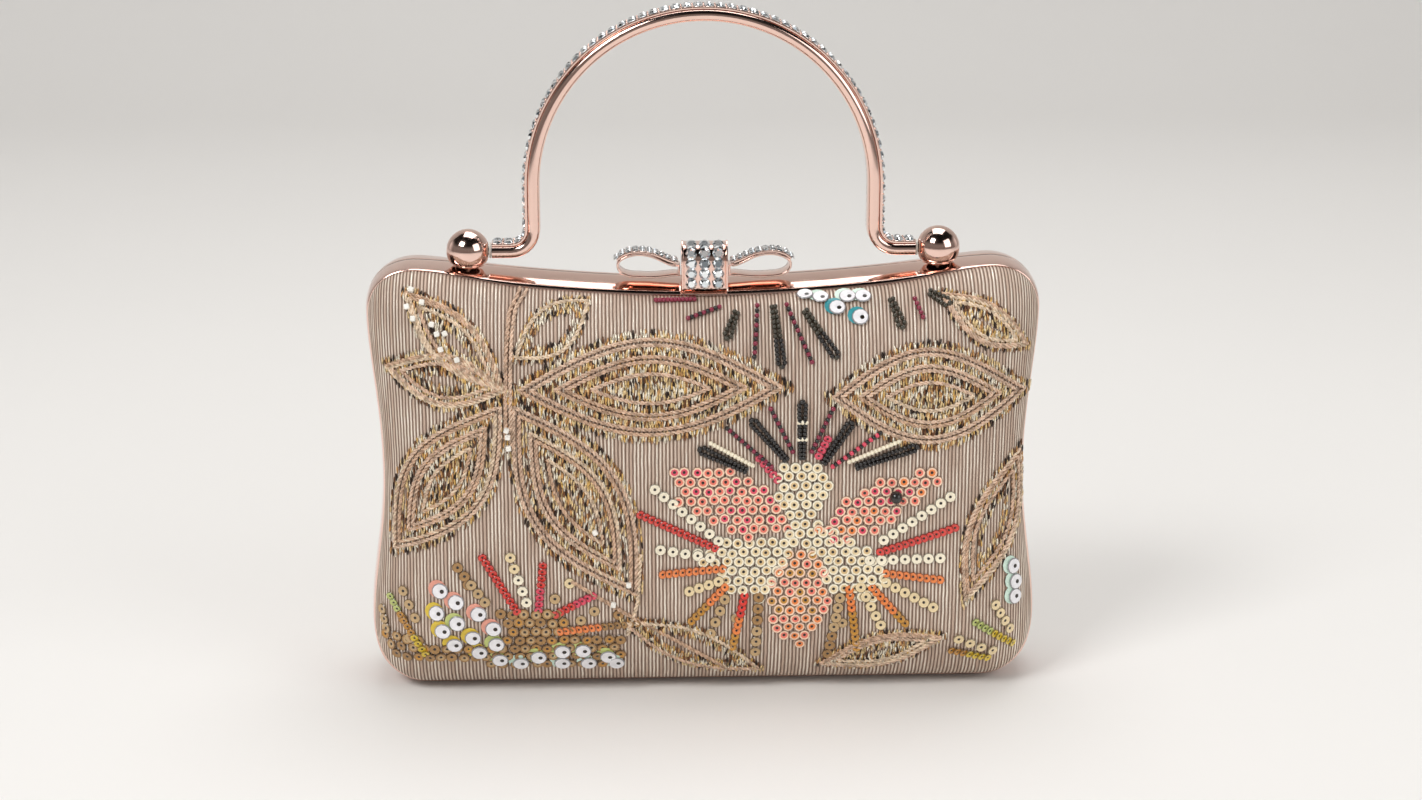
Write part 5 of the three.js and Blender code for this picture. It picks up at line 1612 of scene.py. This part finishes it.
# Rows of sequins: kind, start, end and colours by turns
ROWS = {
    "large_flower": [
        ("ring", (51, 48.5), (70, 61.1), "cream_light"),
        ("ring", (47.1, 42.4), (67.5, 42.7), "cream_light"),
        ("ring", (51.9, 35.5), (65.8, 27.7), "cream"), ("ring", (44.6, 34.2), (50.7, 22.3), "cream"),
        ("ring", (38.6, 31), (35.5, 12.7), "tan brown"), ("ring", (15, 31.5), (14.3, 13.7), "brown tan"),
        ("ring", (5.2, 31), (1.2, 20.3), "tan"), ("ring", (3.4, 48.8), (-14.8, 64.5), "cream_light"),
        ("ring", (1, 43.8), (-13.3, 46.3), "cream_light"), ("ring", (3.4, 36.5), (-5, 33.6), "cream"),
        ("small", (50.1, 44.8), (71.6, 51.7), "red"), ("small", (51.9, 38.3), (67.6, 36.1), "orange"),
        ("small", (47.9, 34.1), (57.8, 22.7), "orange orange gold"),
        ("small", (41.3, 33.5), (43.9, 14.7), "orange gold gold"),
        ("small", (4.6, 40.4), (-12.7, 38.8), "orange"),
        ("small", (5.2, 34.7), (-4.4, 24.3), "orange gold"),
        ("small", (10.9, 32), (7.6, 15.6), "red orange gold"), ("small", (2.5, 46.6), (-19, 57), "red"),
        ("small", (20.3, 67), (15, 73.5), "pink"), ("small", (32, 74), (34.5, 79), "pink"),
        ("loop", (27.2, 73.5), (27.2, 90), "black"), ("loop", (22.6, 73.1), (12.7, 84.8), "black"),
        ("loop", (33.5, 72), (41.2, 83.8), "black"),
        ("chain", (24.5, 75.4), (18.2, 88.1), "magenta black"),
        ("chain", (30, 75.4), (35.9, 87.9), "magenta black"),
        ("chain", (18.5, 71), (5.8, 82.5), "magenta black"),
        ("chain", (36, 70.8), (49.5, 80.6), "pink black"),
        ("chain", (13.1, 71.4), (1.2, 78.1), "cream_light"), ("loop", (11.1, 70), (-2, 76.4), "black"),
        ("chain", (40.7, 72.2), (54.8, 78), "cream_light"), ("loop", (43, 70.6), (60.1, 76.4), "black"),
        ("chain", (26.3, 84), (28.3, 84), "cream_light"),
        ("chain", (26.3, 79), (28.3, 79), "cream_light"),
    ],
    "top_flower": [
        ("loop", (8.7, 113.7), (5.8, 107.4), "olive"),
        ("chain", (14.8, 115.3), (13.6, 102.6), "magenta black"),
        ("loop", (19.4, 115), (21.4, 99.9), "olive black"),
        ("chain", (23.2, 115.5), (29.9, 101.1), "magenta black"),
        ("loop", (28.4, 114), (37, 102.4), "olive black"),
        ("chain", (4, 115), (-5, 112.5), "magenta black"), ("loop", (53, 117), (55.8, 110.3), "olive"),
        ("chain", (59.6, 117.4), (61.6, 113), "magenta"), ("loop", (64, 119), (69.3, 116.5), "olive"),
        ("chain", (-3, 116.5), (-14, 116.5), "magenta"),
    ],
    "low_flower": [
        ("small", (-54.8, 28), (-64.4, 44.6), "red"), ("small", (-48.6, 28.3), (-47.1, 42), "pink red"),
        ("small", (-43.8, 26.9), (-32.8, 32.6), "red pink"),
        ("small", (-42.6, 21.4), (-20.3, 23.9), "orange brown"),
        ("ring", (-52, 30.8), (-56.4, 44.5), "cream_light cream"),
        ("ring", (-84.2, 25.4), (-87.5, 33), "tan"), ("ring", (-64, 31), (-71.5, 41.5), "tan brown"),
        ("small", (-81.6, 14.3), (-91.4, 30.6), "yellow gold lime"),
        ("ring", (-93, 20.5), (-94, 26), "tan"), ("small", (90.1, 14), (78.4, 22.4), "yellow lime"),
        ("small", (82.8, 10.2), (71.9, 13.2), "yellow gold"),
        ("ring", (84, 12.7), (73.8, 17.1), "cream"), ("ring", (88.9, 19), (84.3, 27), "cream"),
    ],
}

SINGLES = {
    "low_flower": [
        ((-39.5, 36.4), "cream"), ((-43.8, 31.7), "tan"), ((-32.5, 27.7), "tan"), ((-36.4, 24.9), "tan"),
        ((-68.7, 36.2), "brown"), ((-25.5, 26.5), "brown"), ((-88, 24.5), "brown"), ((-86, 19), "tan"),
    ],
    "large_flower": [((8.6, 25), "tan"), ((39.5, 23), "tan")],
}

# Large pearly sequins, each with the colour of the disc under it, which shows at their upper left
PEARLS = {
    "low_flower": [
        ((-76.7, 34.2), "salmon"), ((-72.2, 30.9), "salmon"), ((-77.8, 27.4), "yellow"),
        ((-65.9, 27.4), "salmon"), ((-72.1, 24.5), "lime"), ((-61.7, 22.7), "salmon"),
        ((-76.3, 22.0), "yellow"), ((-67.7, 19.8), "yellow"), ((-73.1, 17.5), "yellow"),
        ((-61.0, 17.5), "lime"), ((-66.0, 14.8), "yellow"), ((-60.1, 12.0), "lime"),
        ((-54.1, 10.7), "mint"), ((-48.9, 12.8), "lime"), ((-41.9, 14.7), "lime"),
        ((-42.0, 10.6), "mint"), ((-35.9, 14.9), "lime"), ((-34.3, 10.5), "mint"),
        ((-28.6, 12.7), "lime"), ((-26.2, 10.4), "mint"), ((89.5, 37.8), "mint"), ((90.3, 33), "mint"),
        ((90.2, 28.6), "mint"),
    ],
    "top_flower": [
        ((37.5, 115.0), "teal"), ((43.9, 112.8), "teal"), ((40.6, 117.5), "mint"), ((45, 117.6), "mint"),
        ((33.0, 117.2), "mint"), ((28.6, 117.6), "mint"),
    ],
}

# How a pearly sequin, the disc under it and the one dark bead are laid
PEARL_LIFT = 0.8
PEARL_LEAN = 0.2
PEARL_HOLE_SHIFT = 0.5
DISC_GROWTH = 1.12
DISC_SHIFT = (-0.9, 0.5)
DISC_LIFT = 0.35
DARK_BEAD = (54.3, 61.5)
DARK_BEAD_DIAMETER = 3.8
DARK_BEAD_LIFT = 1.2
LEVEL = Vector((1, 0, 0))


def knot_tints(rim, body):
    """Tints of a ring sequin's zones: its outer slope is painted darker as the shade of its neighbours, and
    its knot is painted dark as the shade in its hole.
    """
    return [TINTS[rim], TINTS[body], TINTS["hole"], shaded(TINTS[rim], SLOPE_SHADE)]


def field_copies(skin, polygon, rim, bodies, template):
    """Ring sequins in offset rows over an outline."""
    copies = []
    bodies = bodies.split()
    low_x, high_x = min(p[0] for p in polygon), max(p[0] for p in polygon)
    low_z, high_z = min(p[1] for p in polygon), max(p[1] for p in polygon)
    lift, spread = FIELD_LIFT
    for row, z in enumerate(np.arange(low_z + FIELD_START, high_z, FIELD_PITCH * FIELD_ROW_SHARE)):
        for x in np.arange(low_x + (row % 2) * FIELD_PITCH / 2, high_x, FIELD_PITCH):
            spot = [v + random.uniform(-FIELD_DRIFT, FIELD_DRIFT) for v in (x, z)]
            found = skin.at(*spot, lift + spread * random.random())
            if found and inside_polygon(*spot, polygon):
                along = Vector((1, 0, random.uniform(-1, 1)))
                lean_x, lean_z = [random.uniform(-FIELD_LEAN, FIELD_LEAN) for _ in range(2)]
                normal = (found[1] + Vector((lean_x, 0, lean_z))).normalized()
                place = basis(found[0], normal, along)
                copies.append((template, place, knot_tints(rim, random.choice(bodies))))
    return copies


def row_lines(kind, start, end, along):
    """Lines of one row: a loop of beads has two sides that open from its foot, and a tip."""
    if kind != "loop":
        return [(start, end)]
    side = Vector((-along.y, along.x)) * BEAD_LOOP_HALF
    return [
        (start + side * 0.5, end + side - along), (start - side * 0.5, end - side - along),
        (end - side * 0.2, end + side * 0.2),
    ]


def row_copies(skin, row, shapes):
    """One row: ring sequins edge to edge, small ones lapped, a chain of beads or a loop of beads."""
    kind, start, end, colours = row
    start, end = Vector(start), Vector(end)
    colours = colours.split()
    along = (end - start).normalized()
    run = Vector((along.x, 0, along.y))
    lift = SEQUIN_LIFT if kind in ROW_LEAN else BEAD_LIFT
    copies = []
    for a, b in row_lines(kind, start, end, along):
        count = max(int(round((b - a).length / ROW_PITCH[kind])), 1)
        for k in range(count + 1):
            spot = a.lerp(b, k / count)
            found = skin.at(spot.x, spot.y, lift)
            if not found:
                continue
            place, normal = found
            colour = colours[min(int(k / (count + 1) * len(colours)), len(colours) - 1)]
            if kind == "chain":
                colour = colours[k % len(colours)]
            if kind in ROW_LEAN:
                lean = (normal - run * ROW_LEAN[kind]).normalized()
                laid = basis(place + normal * SEQUIN_RAISE, lean, run)
                copies.append((shapes[kind], laid, knot_tints(colour, colour)))
            else:
                copies.append((shapes["bead"], basis(place, normal, run), [TINTS[colour]]))
    return copies


def pearl_copies(skin, spot, under, shapes):
    """A large pearly sequin with a disc under it that shows at one side."""
    copies = []
    x, z = spot
    found = skin.at(x + DISC_SHIFT[0], z + DISC_SHIFT[1], DISC_LIFT)
    if found:
        copies.append((shapes["disc"], basis(*found, LEVEL), [TINTS[under]]))
    found = skin.at(x, z, PEARL_LIFT)
    if found:
        laid = basis(*found, Vector((1, 0, PEARL_LEAN)))
        copies.append((shapes["pearl"], laid, knot_tints("pearl", "pearl")))
    return copies


def flower_copies(skin, name, shapes):
    """All sequins and beads of one flower."""
    copies = []
    for polygon, rim, bodies in FIELDS.get(name, []):
        copies += field_copies(skin, polygon, rim, bodies, shapes["ring"])
    for row in ROWS.get(name, []):
        copies += row_copies(skin, row, shapes)
    for spot, colour in SINGLES.get(name, []):
        found = skin.at(*spot, SEQUIN_LIFT)
        if found:
            copies.append((shapes["ring"], basis(*found, LEVEL), knot_tints(colour, colour)))
    for spot, under in PEARLS.get(name, []):
        copies += pearl_copies(skin, spot, under, shapes)
    if name == "large_flower":
        found = skin.at(*DARK_BEAD, DARK_BEAD_LIFT)
        copies.append((shapes["dark_bead"], basis(*found, LEVEL), [TINTS["black"]]))
    return copies


def build_flowers(context):
    """The three sequin flowers on both covers."""
    settings = context.scene.bag_embroidery
    film = sequin_film()
    shapes = {
        "ring": sequin_template(settings.sequin / MM),
        "small": sequin_template(settings.small_sequin / MM, 8),
        "pearl": sequin_template(settings.pearl / MM, 12, PEARL_HOLE_SHIFT),
        "disc": disc_template(settings.pearl / MM * DISC_GROWTH),
        "bead": bead_template(settings.bead / MM),
        "dark_bead": bead_template(DARK_BEAD_DIAMETER, 14, 9),
    }
    for half, side in HALVES:
        skin = CoverSkin(side)
        for name in ("large_flower", "top_flower", "low_flower"):
            mesh = scatter(f"{half}_{name}_sequins", flower_copies(skin, name, shapes))
            shade_past(mesh, 40)
            replaces = [name] if half == "front" else []
            add_piece(f"{half}_{name}_sequins", mesh, film, f"{half}_half", replaces)


def paper_sweep(half):
    """A strip of paper that lies flat under the bag and turns up behind it."""
    foot = BACKDROP_DISTANCE - BACKDROP_RADIUS
    profile = [(-half, 0), (foot, 0)]
    profile += arc((foot, BACKDROP_RADIUS), BACKDROP_RADIUS, -90, 0, 16)[1:]
    profile += [(BACKDROP_DISTANCE, half)]
    bm = bmesh.new()
    verts = [bm.verts.new((-half, y, z)) for y, z in profile]
    edges = [bm.edges.new(pair) for pair in zip(verts, verts[1:])]
    moved = bmesh.ops.extrude_edge_only(bm, edges=edges)["geom"]
    far = [v for v in moved if isinstance(v, bmesh.types.BMVert)]
    bmesh.ops.translate(bm, vec=(2 * half, 0, 0), verts=far)
    bmesh.ops.recalc_face_normals(bm, faces=bm.faces)
    if sum(f.normal.z for f in bm.faces) < 0:
        bmesh.ops.reverse_faces(bm, faces=bm.faces)
    mesh = bpy.data.meshes.new("paper_sweep")
    bm.to_mesh(mesh)
    bm.free()
    mesh.shade_smooth()
    return mesh


def add_lamps(context):
    """Three square lamps that face the bag."""
    for name, (place, size, power) in LAMPS.items():
        lamp = bpy.data.lights.new(name, "AREA")
        lamp.size = size
        lamp.energy = power
        holder = bpy.data.objects.new(name, lamp)
        holder.location = place
        holder.rotation_euler = (LAMP_TARGET - Vector(place)).to_track_quat("-Z", "Y").to_euler()
        context.scene.collection.objects.link(holder)


def studio_world(settings):
    """Even light from all round. Metal mirrors a darker ceiling, and the camera sees the paper's colour."""
    world = bpy.data.worlds.new("studio")
    world.use_nodes = True
    tree = world.node_tree
    tree.nodes.clear()
    direction = add_node(tree, "TexCoord")
    axes = add_node(tree, "SeparateXYZ", {0: direction.outputs["Generated"]})
    overhead = add_node(tree, "ValToRGB", {"Fac": axes.outputs["Z"]}, [
        (0.0, linear("#E4DEDB")), (0.3, linear("#F2EFED")), (0.55, linear("#3A3735")),
        (1.0, linear("#141312")),
    ])
    stops = [(0.0, linear("#8F8C8A")), (0.4, linear("#FFFFFF"))]
    front = add_node(tree, "ValToRGB", {"Fac": axes.outputs["Y"]}, stops)
    room = add_node(
        tree, "Mix", {0: 1.0, 6: overhead.outputs[0], 7: front.outputs[0]},
        data_type="RGBA", blend_type="MULTIPLY",
    )
    mirrored = add_node(tree, "Background", {"Color": room.outputs[2], "Strength": 0.9})
    plain = add_node(tree, "Background", {"Color": linear("#E4E2E0"), "Strength": 0.52})
    seen = add_node(tree, "Background", {"Color": settings.floor, "Strength": 0.8})
    ray = add_node(tree, "LightPath")
    glossy, camera = ray.outputs["Is Glossy Ray"], ray.outputs["Is Camera Ray"]
    both = add_node(tree, "MixShader", {0: glossy, 1: plain.outputs[0], 2: mirrored.outputs[0]})
    whole = add_node(tree, "MixShader", {0: camera, 1: both.outputs[0], 2: seen.outputs[0]})
    add_node(tree, "OutputWorld", {"Surface": whole.outputs[0]})
    return world


def add_camera(context):
    """The camera, where the photo was taken from."""
    camera = bpy.data.cameras.new("photo_camera")
    camera.lens = CAMERA_LENS
    camera.sensor_width = CAMERA_SENSOR
    camera.clip_end = CAMERA_SIGHT
    holder = bpy.data.objects.new("photo_camera", camera)
    holder.location = CAMERA_PLACE
    holder.rotation_euler = (math.radians(90 - CAMERA_PITCH), 0, math.radians(-CAMERA_HEADING))
    context.scene.collection.objects.link(holder)
    context.scene.camera = holder


def build_stage(context):
    """Paper, lamps, world and camera."""
    settings = context.scene.bag_stage
    mesh = paper_sweep(settings.width / 2)
    mesh.materials.append(paper(settings))
    floor = bpy.data.objects.new("paper_sweep", mesh)
    context.scene.collection.objects.link(floor)
    add_lamps(context)
    context.scene.world = studio_world(settings)
    add_camera(context)
    context.scene.view_settings.view_transform = "Standard"


class BAG_OT_frames(bpy.types.Operator):
    """Both halves of the metal frame"""

    bl_idname = "bag.frames"
    bl_label = "Frames"

    def execute(self, context):
        build_frames(context)
        return {"FINISHED"}


class BAG_OT_covers(bpy.types.Operator):
    """Ribbed fabric of the front and back"""

    bl_idname = "bag.covers"
    bl_label = "Covers"

    def execute(self, context):
        build_covers(context)
        return {"FINISHED"}


class BAG_OT_trays(bpy.types.Operator):
    """Stiff pans and satin linings"""

    bl_idname = "bag.trays"
    bl_label = "Trays"

    def execute(self, context):
        build_trays(context)
        return {"FINISHED"}


class BAG_OT_handle(bpy.types.Operator):
    """Arched handle with its stones"""

    bl_idname = "bag.handle"
    bl_label = "Handle"

    def execute(self, context):
        build_handle(context)
        return {"FINISHED"}


class BAG_OT_knobs(bpy.types.Operator):
    """Knobs that hold the handle's feet"""

    bl_idname = "bag.knobs"
    bl_label = "Knobs"

    def execute(self, context):
        build_knobs(context)
        return {"FINISHED"}


class BAG_OT_bow(bpy.types.Operator):
    """Bow of the clasp with its stones"""

    bl_idname = "bag.bow"
    bl_label = "Bow"

    def execute(self, context):
        build_bow(context)
        return {"FINISHED"}


class BAG_OT_works(bpy.types.Operator):
    """Hinges and the works of the clasp"""

    bl_idname = "bag.works"
    bl_label = "Works"

    def execute(self, context):
        build_works(context)
        return {"FINISHED"}


class BAG_OT_leaves(bpy.types.Operator):
    """Corded and stitched leaves"""

    bl_idname = "bag.leaves"
    bl_label = "Leaves"

    def execute(self, context):
        build_leaves(context)
        return {"FINISHED"}


class BAG_OT_flowers(bpy.types.Operator):
    """Sequin flowers"""

    bl_idname = "bag.flowers"
    bl_label = "Flowers"

    def execute(self, context):
        build_flowers(context)
        return {"FINISHED"}


class BAG_OT_stage(bpy.types.Operator):
    """Paper, lamps and camera"""

    bl_idname = "bag.stage"
    bl_label = "Stage"

    def execute(self, context):
        build_stage(context)
        return {"FINISHED"}


OPERATORS = (
    BAG_OT_stage, BAG_OT_frames, BAG_OT_covers, BAG_OT_trays, BAG_OT_handle, BAG_OT_knobs, BAG_OT_bow,
    BAG_OT_works, BAG_OT_leaves, BAG_OT_flowers,
)


class BAG_PT_panel(bpy.types.Panel):
    """Lists the bag's pieces"""

    bl_idname = "BAG_PT_panel"
    bl_label = "Evening clutch bag"
    bl_space_type = "VIEW_3D"
    bl_region_type = "UI"
    bl_category = "Bag"

    def draw(self, context):
        for operator in OPERATORS:
            self.layout.operator(operator.bl_idname)


SETTINGS = {
    "bag_fabric": FabricSettings, "bag_metal": MetalSettings, "bag_embroidery": EmbroiderySettings,
    "bag_stage": StageSettings,
}


def register():
    """Registers the settings, the operators and the panel."""
    for group in SETTINGS.values():
        bpy.utils.register_class(group)
    for name, group in SETTINGS.items():
        setattr(bpy.types.Scene, name, PointerProperty(type=group))
    for operator in OPERATORS:
        bpy.utils.register_class(operator)
    bpy.utils.register_class(BAG_PT_panel)


def unregister():
    """Takes everything that register added away again."""
    bpy.utils.unregister_class(BAG_PT_panel)
    for operator in reversed(OPERATORS):
        bpy.utils.unregister_class(operator)
    for name in SETTINGS:
        delattr(bpy.types.Scene, name)
    for group in reversed(list(SETTINGS.values())):
        bpy.utils.unregister_class(group)


def main():
    """Builds the scene, one operator after another."""
    random.seed(7)
    register()
    bpy.ops.bag.stage()
    bpy.ops.bag.frames()
    bpy.ops.bag.covers()
    bpy.ops.bag.trays()
    bpy.ops.bag.handle()
    bpy.ops.bag.knobs()
    bpy.ops.bag.bow()
    bpy.ops.bag.works()
    bpy.ops.bag.leaves()
    bpy.ops.bag.flowers()


if __name__ == "__main__":
    main()
